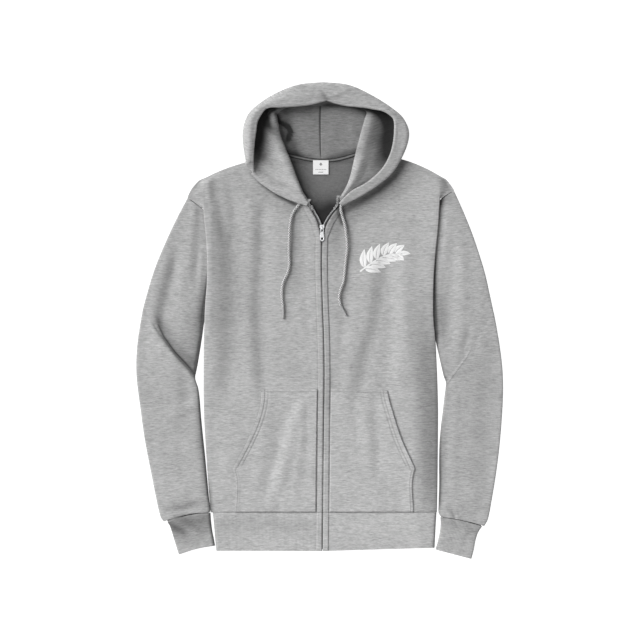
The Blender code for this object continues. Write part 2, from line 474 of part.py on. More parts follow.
def hood_cage(rows, stations):
    """Eleven control points across each section of a hood panel, from its rim to the neck seam."""
    h = Hood(stations, *along(rows, stations).T)
    rim = np.stack([h.rim_x, h.rim_y, h.rim_z], 1)
    out = np.stack([h.out_x, h.out_y, h.out_z], 1)
    roll = np.stack([h.roll_x, h.roll_y, h.roll_z], 1)
    seam = np.stack([h.seam_x, h.seam_y, h.seam_z], 1)
    span = roll - out
    span[:, 2] = 0
    wide = np.linalg.norm(span, axis=1, keepdims=True)
    inward = span / wide
    low, top = h.low_z, h.roll_z

    def between(share, height):
        point = out + span * share
        point[:, 2] = height
        return point

    crown = rim + (out - rim) * 0.5
    crown[:, 2] += (0.5 * (h.rim_z - h.out_z) + 1.0).clip(0) * ease((h.rim_z - h.out_z) / 10.0)
    tuck = out + inward * np.minimum(3.6, wide * 0.08)
    tuck[:, 2] = low + (h.out_z - low) * 0.25
    edge = roll.copy()
    edge[:, 2] = top - np.minimum(4.0, (top - h.foot_z) * 0.3).clip(0)
    steep = ease((top - h.foot_z - 2.0) / 9.0)[:, None]
    slope = ROLL_SLOPE * (0.25 + 0.75 * ease(stations / 0.5))[:, None]
    foot = roll + inward * (slope * (1.0 - steep) - ROLL_UNDERCUT * steep)
    foot[:, 2] = h.foot_z
    rest = foot + (seam - foot) * 0.4 + inward * (ROLL_STEP * ease((stations - 0.45) / 0.1))[:, None]
    rest[:, 2] = h.foot_z + (h.seam_z - h.foot_z) * 0.5
    valley = between(0.3, low + 0.02 * (top - low))
    climb = between(0.62, low + 0.5 * (top - low))
    crest = between(0.88, top)
    return np.stack([rim, crown, out, tuck, valley, climb, crest, edge, foot, rest, seam], axis=1)


def through(cage, steps):
    """Points on a smooth line through each row of control points, steps of them to a stretch."""
    chords = np.sqrt(np.linalg.norm(np.diff(cage, axis=1), axis=2)).clip(0.3)
    slopes = np.diff(cage, axis=1) / chords[..., None]
    before, after = chords[:, :-1, None], chords[:, 1:, None]
    inner = (slopes[:, :-1] * after + slopes[:, 1:] * before) / (before + after)
    tangents = np.concatenate([slopes[:, :1], inner, slopes[:, -1:]], axis=1)
    rows = []
    for k in range(cage.shape[1] - 1):
        t = np.arange(steps)[None, :, None] / steps
        h = chords[:, k, None, None]
        rows.append(cage[:, k, None] * (2 * t**3 - 3 * t**2 + 1)
                    + tangents[:, k, None] * h * (t**3 - 2 * t**2 + t)
                    + cage[:, k + 1, None] * (3 * t**2 - 2 * t**3)
                    + tangents[:, k + 1, None] * h * (t**3 - t**2))
    return np.concatenate([*rows, cage[:, -1:]], axis=1)


def hood_grid(rows):
    """The middle surface of one hood panel."""
    stations = np.linspace(0, 1, 23)
    grid = through(hood_cage(rows, stations), 2)
    grid[..., 2] = np.maximum(grid[..., 2], CLOTH / 2)
    return grid


# ---------------------------------------------------------------- meshes
def material(name, colour, roughness, metallic=0.0):
    """A plain Principled material of one colour."""
    made = bpy.data.materials.new(name)
    made.use_nodes = True
    shader = made.node_tree.nodes["Principled BSDF"]
    shader.inputs["Base Color"].default_value = (*colour, 1.0)
    shader.inputs["Roughness"].default_value = roughness
    shader.inputs["Metallic"].default_value = metallic
    return made


def add_object(name, data, finish, collection):
    """A new object in the garment's collection, smooth and with one material."""
    obj = bpy.data.objects.new(name, data)
    data.materials.append(finish)
    collection.objects.link(obj)
    return obj


def build_wall(name, grid, thickness, finish, collection, closed=False):
    """A cloth piece: the grid's open surface, given its wall by Solidify."""
    rows, columns = grid.shape[:2]
    last = columns if closed else columns - 1
    i, j = np.meshgrid(np.arange(rows - 1), np.arange(last), indexing="ij")
    k = (j + 1) % columns
    corners = [i * columns + j, i * columns + k, (i + 1) * columns + k, (i + 1) * columns + j]
    faces = np.stack(corners, axis=-1)
    mesh = bpy.data.meshes.new(name)
    mesh.from_pydata((grid.reshape(-1, 3) * MM).tolist(), [], faces.reshape(-1, 4).tolist())
    mesh.shade_smooth()
    obj = add_object(name, mesh, finish, collection)
    wall = obj.modifiers.new("wall", "SOLIDIFY")
    wall.thickness = thickness * MM
    wall.offset = 0.0
    wall.use_rim = True
    return obj


def outline_plate(name, loops, thickness, finish, collection):
    """A flat plate: closed 2D outlines, the inner ones holes, extruded to its thickness."""
    curve = bpy.data.curves.new(name, "CURVE")
    curve.dimensions = "2D"
    curve.fill_mode = "BOTH"
    curve.extrude = thickness * MM / 2
    for loop in loops:
        spline = curve.splines.new("POLY")
        spline.points.add(len(loop) - 1)
        for point, (x, y) in zip(spline.points, loop):
            point.co = (x * MM, y * MM, 0.0, 1.0)
        spline.use_cyclic_u = True
    return add_object(name, curve, finish, collection)


def cord_tube(name, points, radius, finish, collection):
    """A round cord along a list of points, closed at both ends."""
    curve = bpy.data.curves.new(name, "CURVE")
    curve.dimensions = "3D"
    curve.bevel_depth = radius * MM
    curve.bevel_resolution = 2
    curve.use_fill_caps = True
    spline = curve.splines.new("POLY")
    spline.points.add(len(points) - 1)
    for point, place in zip(spline.points, points):
        point.co = (*(np.asarray(place) * MM), 1.0)
    return add_object(name, curve, finish, collection)


def as_mesh(obj):
    """The same object as a mesh with its caps welded, so that a Boolean can use it."""
    bpy.context.view_layer.update()
    graph = bpy.context.evaluated_depsgraph_get()
    mesh = bpy.data.meshes.new_from_object(obj.evaluated_get(graph))
    weld = bmesh_weld(mesh)
    made = bpy.data.objects.new(obj.name + "_mesh", weld)
    made.matrix_world = obj.matrix_world
    for collection in list(obj.users_collection):
        collection.objects.link(made)
    name = obj.name
    bpy.data.objects.remove(obj)
    made.name = name
    return made


def bmesh_weld(mesh):
    """The mesh with the points that share a place made one."""
    work = bmesh.new()
    work.from_mesh(mesh)
    bmesh.ops.remove_doubles(work, verts=work.verts, dist=1e-6)
    work.to_mesh(mesh)
    work.free()
    return mesh


# ---------------------------------------------------------------- zip
SLIDER = (4.6, 174.0)  # centre of the slider's bridge
SLIDER_LOW, SLIDER_TOP = 4.4, 8.7
PIVOT_Z = 10.3
PULL_THICK = 1.3
PULL_LENGTH = 24.0
PULL_HALF = 4.3


def tape_grid(side):
    """One zip tape's middle surface, from the hem up past the slider to its end at the neck."""
    y = np.array([-436, -400, -340, -280, -220, -160, -100, -40, 20, 80, 120, 150, 163, 172, 180, 188,
                  196, 203, 209, 214, 219])
    edge = zip_edge(side, y)
    opened = ease((y - 160.0) / 22.0)
    inner = edge - side.sign * (0.45 + 5.4 * opened)
    inner = np.where(y < 160, along(ZIP_LINE, np.minimum(y, 158)) + side.sign * 0.3, inner)
    shares = np.array([0.0, 0.25, 1.0])
    outer = edge + side.sign * 8.5
    x = inner[:, None] + (outer - inner)[:, None] * shares[None]
    grid = np.dstack([x, y[:, None] + 0 * x, np.full(x.shape, TAPE_MID)])
    return grid


def build_slider(metal, collection):
    """The slider's body with its bridge, and the pull tab that hangs on it, as two objects."""
    outline = [(-2.7, -8), (2.7, -8), (3.1, -2), (4.4, 3), (4.2, 6.6), (1.6, 8), (0, 6.8), (-1.6, 8),
               (-4.2, 6.6), (-4.4, 3), (-3.1, -2)]
    body = outline_plate("zip_slider", [outline], SLIDER_TOP - SLIDER_LOW, metal, collection)
    body.location = (SLIDER[0] * MM, SLIDER[1] * MM, (SLIDER_LOW + SLIDER_TOP) / 2 * MM)
    rise = PIVOT_Z - SLIDER_TOP
    arc = [(3.9 * math.cos(a), rise - 0.5 + 2.6 * math.sin(a)) for a in np.linspace(0, math.pi, 11)]
    hole = [(2.7 * math.cos(a), rise - 0.5 + 1.7 * math.sin(a)) for a in np.linspace(0, math.pi, 11)]
    arch = [(3.9, -0.9), *arc, (-3.9, -0.9), (-2.7, -0.9), *hole[::-1], (2.7, -0.9)]
    bridge = outline_plate("slider_bridge", [arch], 2.0, metal, collection)
    bridge.rotation_euler = (math.radians(90), 0, math.radians(90))
    bridge.location = (SLIDER[0] * MM, SLIDER[1] * MM, SLIDER_TOP * MM)
    body, bridge = as_mesh(body), as_mesh(bridge)
    join = body.modifiers.new("bridge", "BOOLEAN")
    join.operation = "UNION"
    join.object = bridge
    graph = bpy.context.evaluated_depsgraph_get()
    joined = bpy.data.meshes.new_from_object(body.evaluated_get(graph))
    body.modifiers.clear()
    body.data = joined
    bpy.data.objects.remove(bridge)

    end = [(PULL_HALF * math.cos(a), PULL_HALF - PULL_LENGTH + PULL_HALF * math.sin(a))
           for a in np.linspace(math.pi, 2 * math.pi, 11)]
    shape = [(2.9, 0.65), (-2.9, 0.65), (-2.9, -6), *end, (2.9, -6)]
    window = [(1.7, -0.65), (-1.7, -0.65), (-1.7, -5.9), (1.7, -5.9)]
    eye = [(2.0 * math.cos(a), -19.2 + 2.0 * math.sin(a)) for a in np.linspace(0, 2 * math.pi, 13)[:-1]]
    pull = outline_plate("zip_pull", [shape, window, eye], PULL_THICK, metal, collection)
    hinge = bpy.data.objects.new("pull_hinge", None)
    hinge.location = (SLIDER[0] * MM, SLIDER[1] * MM, PIVOT_Z * MM)
    collection.objects.link(hinge)
    pull.parent = hinge


# ---------------------------------------------------------------- drawcord and label
# Each cord's route over the front in plan, from under the hood's edge to its free end.
RIGHT_CORD = ((-38, 221), (-45, 212), (-51.6, 202), (-55.7, 184.3), (-57.6, 157), (-58.4, 130), (-57.8, 104),
              (-61.5, 88), (-68.2, 75), (-71.6, 57), (-71, 39), (-69, 20.5), (-69.6, 2.3))
LEFT_CORD = ((40.6, 216.6), (40.2, 212), (42.8, 199), (47.2, 184.3), (50.4, 164), (52.6, 139), (50.2, 117),
             (47.8, 94), (45.6, 74), (40.4, 59), (37.2, 46), (39, 31.5), (45, 18.8), (50.6, 8.7))
CORD_ARCH = 3.0  # how far a cord lifts off the chest at most


def cord_points(route, side, count):
    """Points along a cord over the front, its radius and a little more above the cloth."""
    plan = path(route, np.linspace(0, 1, count))
    x, y = plan[:, 0], plan[:, 1]
    spread = [front_top(side, x + dx, y + dy) for dx in (-3, 0, 3) for dy in (-3, 0, 3)]
    arch = CORD_ARCH * bell((y - 160.0) / 36.0)
    clear = GAP + 0.6 * ease((215.0 - y) / 20.0)
    return np.column_stack([x, y, np.max(spread, axis=0) + CORD_DIAMETER / 2 + clear + arch])


def build_cord(side, finish, collection):
    """One free end of the drawcord."""
    points = cord_points(RIGHT_CORD if side.sign < 0 else LEFT_CORD, side, 21)
    cord_tube(f"drawcord_{side.name}", points, CORD_DIAMETER / 2, finish, collection)


def label_grid():
    """The neck label's middle surface, a small woven patch that lies on the inside of the back."""
    x, y = np.meshgrid(np.linspace(-12.6, 17.0, 6), np.linspace(300.6, 277.0, 5))
    return np.dstack([x, y, 3.2 + 0.9 * ease((288 - y) / 12.0) * (0.6 + 0.4 * np.cos((x - 2) / 7.0))])


def main():
    for obj in list(bpy.data.objects):
        bpy.data.objects.remove(obj)
    garment = bpy.data.collections.new("zip_up_hoodie")
    bpy.context.scene.collection.children.link(garment)

    fleece = material("heather_fleece", (0.42, 0.42, 0.43), 0.95)
    inside = material("brushed_inside", (0.24, 0.24, 0.25), 0.97)
    rib = material("rib_knit", (0.40, 0.40, 0.41), 0.93)
    cotton = material("drawcord_cotton", (0.5, 0.5, 0.5), 0.9)
    tape = material("zip_tape", (0.3, 0.3, 0.31), 0.85)
    nickel = material("nickel", (0.75, 0.75, 0.76), 0.25, 1.0)
    woven = material("woven_label", (0.9, 0.9, 0.9), 0.7)

    build_wall("back", back_grid(), CLOTH, inside, garment)
    build_wall("waistband", waistband_grid(), RIB, rib, garment)
    build_wall("neck_label", label_grid(), 0.6, woven, garment)
    for side, sleeve, armhole, cuff, hood in (
        (RIGHT, RIGHT_SLEEVE, RIGHT_ARMHOLE, RIGHT_CUFF, RIGHT_HOOD),
        (LEFT, LEFT_SLEEVE, LEFT_ARMHOLE, LEFT_CUFF, LEFT_HOOD),
    ):
        build_wall(f"front_{side.name}", front_grid(side), CLOTH, fleece, garment)
        build_wall(f"pocket_{side.name}", pocket_grid(side), POCKET_CLOTH, fleece, garment)
        sleeve_grid = tube(sleeve, side, CLOTH, armhole, SLEEVE_FOLDS)
        build_wall(f"sleeve_{side.name}", sleeve_grid, CLOTH, fleece, garment, True)
        build_wall(f"cuff_{side.name}", tube(cuff, side, RIB), RIB, rib, garment, True)
        build_wall(f"hood_{side.name}", hood_grid(hood), CLOTH, fleece, garment)
        build_wall(f"zip_tape_{side.name}", tape_grid(side), TAPE_THICK, tape, garment)
        build_cord(side, cotton, garment)
    build_slider(nickel, garment)


main()
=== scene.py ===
"""Visual model of a zip-up hooded sweatshirt of heather-grey brushed fleece, laid flat on its back.

The garment lies in the XY plane with its hem towards -Y, its hood towards +Y and its front up, and the
camera looks straight down on it. Right and left are the wearer's, so the right half is at -X. Lengths are
millimetres until they are written into a mesh, which is in metres. Each cloth piece is a grid of points on
the middle of its wall, and Solidify gives it the cloth's thickness.
"""

import logging
import math
from dataclasses import dataclass
from enum import Enum
from typing import NamedTuple

import bmesh
import bpy
import numpy as np
from mathutils import Matrix, Vector


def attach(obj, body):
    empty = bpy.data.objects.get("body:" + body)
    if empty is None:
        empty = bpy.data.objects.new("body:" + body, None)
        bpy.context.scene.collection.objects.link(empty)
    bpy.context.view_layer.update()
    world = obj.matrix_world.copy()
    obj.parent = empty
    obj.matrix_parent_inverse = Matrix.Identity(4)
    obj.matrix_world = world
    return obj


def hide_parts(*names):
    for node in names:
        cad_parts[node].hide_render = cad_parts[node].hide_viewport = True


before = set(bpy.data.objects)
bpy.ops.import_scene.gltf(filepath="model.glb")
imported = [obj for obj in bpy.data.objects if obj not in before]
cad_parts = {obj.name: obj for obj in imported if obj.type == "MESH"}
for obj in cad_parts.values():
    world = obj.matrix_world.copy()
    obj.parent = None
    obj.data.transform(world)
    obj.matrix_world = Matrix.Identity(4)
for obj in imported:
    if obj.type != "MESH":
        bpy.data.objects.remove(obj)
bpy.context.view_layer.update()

log = logging.getLogger("hoodie")
Array = np.ndarray
Rows = tuple[tuple[float, ...], ...]

MM = 0.001
WEAVE = "weave"  # UV map of every cloth piece, in metres: along the knit's courses, and up its wales
# Attributes of points: painted shade, 0 on open cloth to 1 where the colour is darkened most as shade, and 1
# where a cord's yarn crosses over.
PAINTED_SHADE = "painted_shade"
CREST = "crest"

# ---------------------------------------------------------------- driving sizes, in millimetres
CLOTH = 2.4
RIB = 2.6
POCKET_CLOTH = 2.2
GAP = 0.4
HEM_SEAM_Y = -365.0
ZIP_HEM_Y = -438.6
SLEEVE_LEVEL = 5.6
ARMHOLE_BASE = 6.3
FRONT_TOP = 7.4
SIDE_TOP = 12.6
SIDE_LOW = 8.0
SHOULDER_LOW = 4.1
SIDE_ROLL = 5.2
SIDE_RETURN = 8.0
WELT_WIDTH = 11.5
WELT_RISE = 1.5
ZIP_HALF_GAP = 0.75
TAPE_MID = 3.3
TAPE_THICK = 0.9
CORD_DIAMETER = 5.5
CORD_ARCH = 3.0
SLIDER = (4.6, 174.0)
PIVOT_Z = 10.3
PULL_THICK = 1.3
PULL_LENGTH = 24.0
PULL_HALF = 4.3

ZIP_TOP = 158.0  # where the closed zip ends
STITCH_IN = 10.4  # from the zip's edge to the strip's row of stitches
HAND_ROW = 13.3  # from the hand opening's edge to its inner row of stitches

# Middle of the zip: y and x.
ZIP_LINE = ((-440, 5.2), (-300, 6.4), (-180, 7.6), (-95, 8.5), (-30, 7.5), (40, 5.0), (112, 3.6), (158, 4.4))


class Half(Enum):
    """The wearer's right half, at -X, and left half, at +X."""

    RIGHT = -1
    LEFT = 1

    @property
    def word(self) -> str:
        """The half's name inside a piece's name."""
        return self.name.lower()


@dataclass(frozen=True)
class BodyHalf:
    """Outlines of one half of the body in plan, in millimetres.

    `fold` gives x at each y of the side's outline and `opened` that of the zip's edge above the slider.
    `neck`, `seam` and `armhole` are lines of points, and `shoulder` gives the armhole seam's point for each
    y of the crease. `side_shade` gives for each y the painted shade of the front at its side's outline, that
    beside it, and how wide the shaded edge is. `arm_shade` gives the same painted shade of the sleeve, where
    it comes out from under the front.
    """

    half: Half
    fold: Rows
    opened: Rows
    neck: Rows
    seam: Rows
    shoulder: Rows
    armhole: Rows
    crease_top: float
    seam_end: float
    underarm: float
    drop_end: float
    side_shade: Rows
    arm_shade: Rows

    @property
    def sign(self) -> int:
        """-1 on the wearer's right and 1 on the left."""
        return self.half.value


RIGHT_BODY = BodyHalf(
    half=Half.RIGHT,
    fold=((-372, -207), (-310, -211.8), (-250, -215.8), (-190, -219.4), (-90, -220.8), (-20, -219.6),
          (30, -217.5), (70, -214.5), (115, -213.8), (160, -216.3), (200, -220.3), (245, -222.3),
          (268, -222.6)),
    opened=((158, 3.6), (166, 1.0), (172, -1.2), (184, -4.3), (194, -8.4), (203, -13.5), (211, -17.7),
            (218, -21.2)),
    neck=((-20.1, 216), (-40, 236), (-62, 262), (-80, 290), (-95, 313)),
    seam=((-95, 313), (-140.6, 300.3), (-190, 283.3), (-217.4, 270.2)),
    shoulder=((267, -223.4, 268.4), (262, -229, 265.4), (255, -237, 257.4), (247, -244.6, 247.4),
              (240, -250.9, 233.9), (230, -243.1, 227.6), (222, -233.4, 220.5), (214, -224.0, 213.6)),
    armhole=((-251.6, 232.6), (-238, 222.7), (-221.6, 210.8), (-207, 188), (-200.5, 150), (-198, 100),
             (-201, 60), (-207, 30)),
    crease_top=267.0,
    seam_end=213.0,
    underarm=20.0,
    drop_end=-35.0,
    side_shade=((-372, 1.0, 0.0, 3.8), (-330, 1.0, 0.0, 3.6), (-305, 0.75, 0.0, 2.4), (-240, 0.35, 0.0, 1.8),
                (-100, 0.1, 0.0, 1.8), (0, 0.0, 0.0, 1.8)),
    arm_shade=((-372, 0.5, 0.2, 2.8), (-330, 0.9, 0.5, 3.0), (-190, 0.95, 0.6, 3.4), (-150, 0.85, 0.55, 2.8),
               (-112, 0.5, 0.35, 2.5), (-98, 0.9, 0.45, 4.2), (-60, 1.0, 0.6, 6.6), (-20, 1.0, 0.65, 7.6),
               (10, 1.0, 0.6, 7.0), (40, 0.95, 0.5, 5.4), (70, 0.7, 0.32, 3.4), (100, 0.1, 0.1, 2.4),
               (200, 0.1, 0.12, 2.4), (235, 0.0, 0.0, 2.4)),
)
LEFT_BODY = BodyHalf(
    half=Half.LEFT,
    fold=((-372, 222.6), (-310, 224), (-250, 224.6), (-160, 225), (-90, 222.8), (-28, 219.2), (0, 216.6),
          (45, 215.9), (85, 217), (130, 220.6), (180, 225.6), (225, 228.4), (270, 233.6)),
    opened=((158, 5.2), (166, 8.0), (172, 10.2), (181, 13.4), (193, 19.8), (203, 26.6), (213, 35.0),
            (218, 38.6)),
    neck=((37.4, 216), (52, 236), (72, 262), (88, 290), (101, 314)),
    seam=((101, 314), (155, 306), (205, 286.7), (228.4, 273.6)),
    shoulder=((270, 234.6, 270.8), (264, 241, 266.6), (258, 248.2, 257.4), (252, 254.9, 246.6),
              (246, 249.6, 243.2), (241, 243.4, 239.7), (236, 237.0, 235.6), (232, 231.6, 231.8)),
    armhole=((255.8, 245.6), (244, 239.2), (229.4, 229.4), (214, 200), (205, 150), (201, 95), (202, 40),
             (208, -12)),
    crease_top=270.0,
    seam_end=231.0,
    underarm=-28.0,
    drop_end=-80.0,
    side_shade=((-372, 0.8, 0.3, 1.8), (-300, 0.7, 0.40, 1.8), (-150, 0.6, 0.44, 1.8), (-60, 0.4, 0.3, 1.8),
                (0, 0.1, 0.1, 1.8), (40, 0.0, 0.0, 1.8)),
    arm_shade=((-375, 0.2, 0.0, 2.0), (-352, 1.0, 0.0, 3.4), (-310, 1.0, 0.28, 3.4), (-250, 0.8, 0.3, 3.4),
               (-190, 0.4, 0.1, 2.4),
               (-140, 0.0, 0.0, 2.2), (-118, 0.55, 0.12, 2.4), (-60, 0.7, 0.2, 3.0), (-35, 0.9, 0.45, 5.2),
               (-5, 1.0, 0.6, 6.4), (40, 1.0, 0.6, 5.2), (90, 0.9, 0.4, 3.2), (130, 0.6, 0.2, 2.2),
               (150, 0.45, 0.12, 1.8), (200, 0.4, 0.12, 1.8), (214, 0.5, 0.3, 3.0), (226, 0.85, 0.5, 5.5),
               (240, 0.6, 0.4, 5.5), (252, 0.0, 0.0, 2.4)),
)


# ---------------------------------------------------------------- curves and grids
def ease(t: Array) -> Array:
    """0 below 0, 1 above 1, and 3t^2 - 2t^3 between."""
    t = np.clip(t, 0.0, 1.0)
    return t * t * (3.0 - 2.0 * t)


def bell(t: Array) -> Array:
    """exp(-t^2): 1 at 0, falling smoothly to nothing at about 2 on both sides."""
    return np.exp(-(np.asarray(t, float) ** 2))


def along(rows: Rows | Array, at: Array | float) -> Array:
    """Reads a table as a smooth curve: cubic Hermite pieces whose slopes are weighted means of the chords
    beside them.

    Args:
        rows: rows of (place, value, ...), in any order of place.
        at: places to read, held to the table's range.

    Returns:
        The value at each place, or a row of values where the table has several.
    """
    table = np.array(sorted(rows), float)
    knots, values = table[:, 0], table[:, 1:]
    steps = np.diff(knots)[:, None]
    slopes = np.diff(values, axis=0) / steps
    tangents = np.vstack([slopes[:1], slopes[:1].repeat(len(knots) - 2, 0), slopes[-1:]])
    tangents[1:-1] = (slopes[:-1] * steps[1:] + slopes[1:] * steps[:-1]) / (steps[:-1] + steps[1:])
    place = np.clip(np.asarray(at, float), knots[0], knots[-1])
    i = np.clip(np.searchsorted(knots, place, side="right") - 1, 0, len(knots) - 2)
    h = steps[i, 0]
    t = ((place - knots[i]) / h)[..., None]
    h = h[..., None]
    found = (values[i] * (2 * t**3 - 3 * t**2 + 1) + tangents[i] * h * (t**3 - 2 * t**2 + t)
             + values[i + 1] * (3 * t**2 - 2 * t**3) + tangents[i + 1] * h * (t**3 - t**2))
    return found[..., 0] if values.shape[1] == 1 else found


def path(points: Rows | Array, at: Array, sharp: tuple[int, ...] = ()) -> Array:
    """Points on a smooth line through points.

    Args:
        points: the line's points, in order.
        at: shares 0 to 1 of the line's length.
        sharp: indices of points where the line has a corner.

    Returns:
        One point for each share.
    """
    points = np.array(points, float)
    stops = np.concatenate([[0], np.cumsum(np.linalg.norm(np.diff(points, axis=0), axis=1))])
    stops /= stops[-1]
    ends = [0, *sharp, len(points) - 1]
    at = np.asarray(at, float)
    found = np.zeros((len(at), points.shape[1]))
    for first, last in zip(ends[:-1], ends[1:]):
        inside = (at >= stops[first] - 1e-9) & (at <= stops[last] + 1e-9)
        rows = [(s, *p) for s, p in zip(stops[first:last + 1], points[first:last + 1])]
        found[inside] = along(rows, at[inside])
    return found


def unit(vectors: Array) -> Array:
    """Vectors of length 1 along the last axis."""
    return vectors / np.linalg.norm(vectors, axis=-1, keepdims=True).clip(1e-9)


def reach(points: Array) -> Array:
    """Distance from the first point to each point of a line, along it."""
    return np.concatenate([[0.0], np.cumsum(np.linalg.norm(np.diff(points, axis=0), axis=1))])


class Fold(NamedTuple):
    """A soft fold along a line in plan, fading past its ends and to its sides.

    `height` raises the cloth (or sinks it, below 0) as a bell across the line. `drop` is how far the cloth
    steps down across the line, from the side of smaller x to the other, before it levels out again. `shade`
    is painted shade: how much the fold darkens the cloth's colour, from 0 to 1.
    """

    line: tuple[tuple[float, float], ...]
    half_width: float
    height: float = 0.0
    drop: float = 0.0
    shade: float = 0.0


def place_by_fold(fold: Fold, x: Array, y: Array) -> tuple[Array, Array]:
    """Where places in plan are beside a fold's line, of its nearest stretch.

    Args:
        fold: the fold.
        x: places in plan.
        y: places in plan.

    Returns:
        Distance beside the line in half widths, above 0 on the side of larger x, and the fade past its ends.
    """
    nearest = np.full(np.shape(x), np.inf)
    beside, past = np.zeros_like(nearest), np.zeros_like(nearest)
    for (x0, y0), (x1, y1) in zip(fold.line[:-1], fold.line[1:]):
        length = math.hypot(x1 - x0, y1 - y0)
        run_x, run_y = (x1 - x0) / length, (y1 - y0) / length
        ahead = (x - x0) * run_x + (y - y0) * run_y
        across = ((x - x0) * -run_y + (y - y0) * run_x) * (1.0 if run_y < 0 else -1.0)
        over = np.maximum(0.0, np.maximum(-ahead, ahead - length))
        closer = np.hypot(across, over) < nearest
        nearest = np.where(closer, np.hypot(across, over), nearest)
        beside, past = np.where(closer, across, beside), np.where(closer, over, past)
    return beside / fold.half_width, bell(past / (2.2 * fold.half_width))


def relief(x: Array, y: Array, folds: tuple[Fold, ...]) -> Array:
    """Sum of folds: height e^(-t^2) - 1.17 drop t e^(-t^2), t being the distance from the line in half
    widths.

    Args:
        x: places in plan.
        y: places in plan.
        folds: the folds.

    Returns:
        Height above the plain surface at each place.
    """
    total = np.zeros_like(x)
    for fold in folds:
        beside, fade = place_by_fold(fold, x, y)
        total += (fold.height - 1.17 * fold.drop * beside) * bell(beside) * fade
    return total


def shade(x: Array, y: Array, folds: tuple[Fold, ...]) -> Array:
    """Sum of the folds' painted shade at places in plan."""
    total = np.zeros_like(x)
    for fold in folds:
        if fold.shade:
            beside, fade = place_by_fold(fold, x, y)
            total += fold.shade * bell(beside) * fade
    return total


def gathers(run: Array, depth: Array, size: float, reach_in: float, phase: float) -> Array:
    """Small puckers that a tighter seam draws into the cloth: three sines of the place along the seam,
    fading inwards.

    Args:
        run: distance along the seam.
        depth: distance from the seam.
        size: height of the puckers at the seam.
        reach_in: distance over which they fade.
        phase: shifts the puckers along the seam.

    Returns:
        Height above the plain surface.
    """
    waves = (np.sin(run / 3.7 + phase) + 0.8 * np.sin(run / 2.3 + 2.1 * phase)
             + 0.7 * np.sin(run / 6.1 - phase))
    return size * 0.5 * waves * np.exp(-np.maximum(depth, 0.0) / reach_in)


# ---------------------------------------------------------------- meshes
def show(name: str, data: bpy.types.ID) -> bpy.types.Object:
    """A new object of a mesh, a lamp or another kind of data, at the origin and in the scene."""
    shown = bpy.data.objects.new(name, data)
    bpy.context.scene.collection.objects.link(shown)
    return shown


def new_mesh(name: str, points: Array, faces: list[list[int]], smooth: bool = True) -> bpy.types.Mesh:
    """A mesh of points [point, xyz] in millimetres and of faces that list their points' numbers."""
    mesh = bpy.data.meshes.new(name)
    mesh.from_pydata((points * MM).tolist(), [], faces)
    if smooth:
        mesh.shade_smooth()
    return mesh


def write_weave(mesh: bpy.types.Mesh, corners: Array) -> None:
    """Writes the weave map from coordinates [face, corner, uv] in millimetres."""
    mesh.uv_layers.new(name=WEAVE).data.foreach_set("uv", (corners * MM).astype(np.float32).ravel())


def write_values(mesh: bpy.types.Mesh, name: str, values: Array) -> None:
    """Writes an attribute with one number for each point."""
    mesh.attributes.new(name, "FLOAT", "POINT").data.foreach_set("value", values.astype(np.float32).ravel())


def cells(rows: int, columns: int, closed: bool = False) -> tuple[Array, Array, Array]:
    """The quads between the points of a grid.

    Args:
        rows: rows of points.
        columns: columns of points.
        closed: joins the last column to the first.

    Returns:
        Each quad's row, its column, and the numbers of its four points [row, column, corner].
    """
    i, j = np.meshgrid(np.arange(rows - 1), np.arange(columns if closed else columns - 1), indexing="ij")
    k = (j + 1) % columns
    return i, j, np.stack([i * columns + j, i * columns + k, (i + 1) * columns + k, (i + 1) * columns + j],
                          axis=-1)


def surface(name: str, grid: Array, uv: Array | None = None, painted_shade: Array | None = None,
            closed: bool = False, flip: bool = False) -> bpy.types.Object:
    """A smooth mesh of quads over a grid of points.

    Args:
        name: the piece's name.
        grid: points [row, column, xyz] in millimetres.
        uv: weave coordinates [row, column, uv] in millimetres; a closed grid has one column more, for its
        last faces.
        painted_shade: value of the painted shade attribute at each point, which darkens the colour.
        closed: joins the last column to the first.
        flip: turns the faces over.

    Returns:
        The object, at the origin.
    """
    i, j, quads = cells(*grid.shape[:2], closed)
    order = -1 if flip else 1
    mesh = new_mesh(name, grid.reshape(-1, 3), quads.reshape(-1, 4)[:, ::order].tolist())
    if uv is not None:
        corners = np.stack([uv[i, j], uv[i, j + 1], uv[i + 1, j + 1], uv[i + 1, j]], axis=2).reshape(-1, 4, 2)
        write_weave(mesh, corners[:, ::order])
    if painted_shade is not None:
        write_values(mesh, PAINTED_SHADE, np.broadcast_to(painted_shade, grid.shape[:2]))
    return show(name, mesh)


def rods(name: str, rings: Array, smooth: bool = True) -> bpy.types.Object:
    """Many small closed rods in one mesh, each a stack of rings with a cap at both ends.

    Args:
        name: the piece's name.
        rings: points [rod, ring, corner, xyz] in millimetres, corners anticlockwise seen from the last ring.
        smooth: shades the sides smoothly.

    Returns:
        The object, at the origin.
    """
    count, stack, around = rings.shape[:3]
    base = (np.arange(count) * stack * around)[:, None, None, None]
    quads = (base + cells(stack, around, closed=True)[2]).reshape(-1, 4)
    first = (base[:, 0, 0] + np.arange(around)[::-1]).tolist()
    last = (base[:, 0, 0] + (stack - 1) * around + np.arange(around)).tolist()
    return show(name, new_mesh(name, rings.reshape(-1, 3), [*quads.tolist(), *first, *last], smooth))


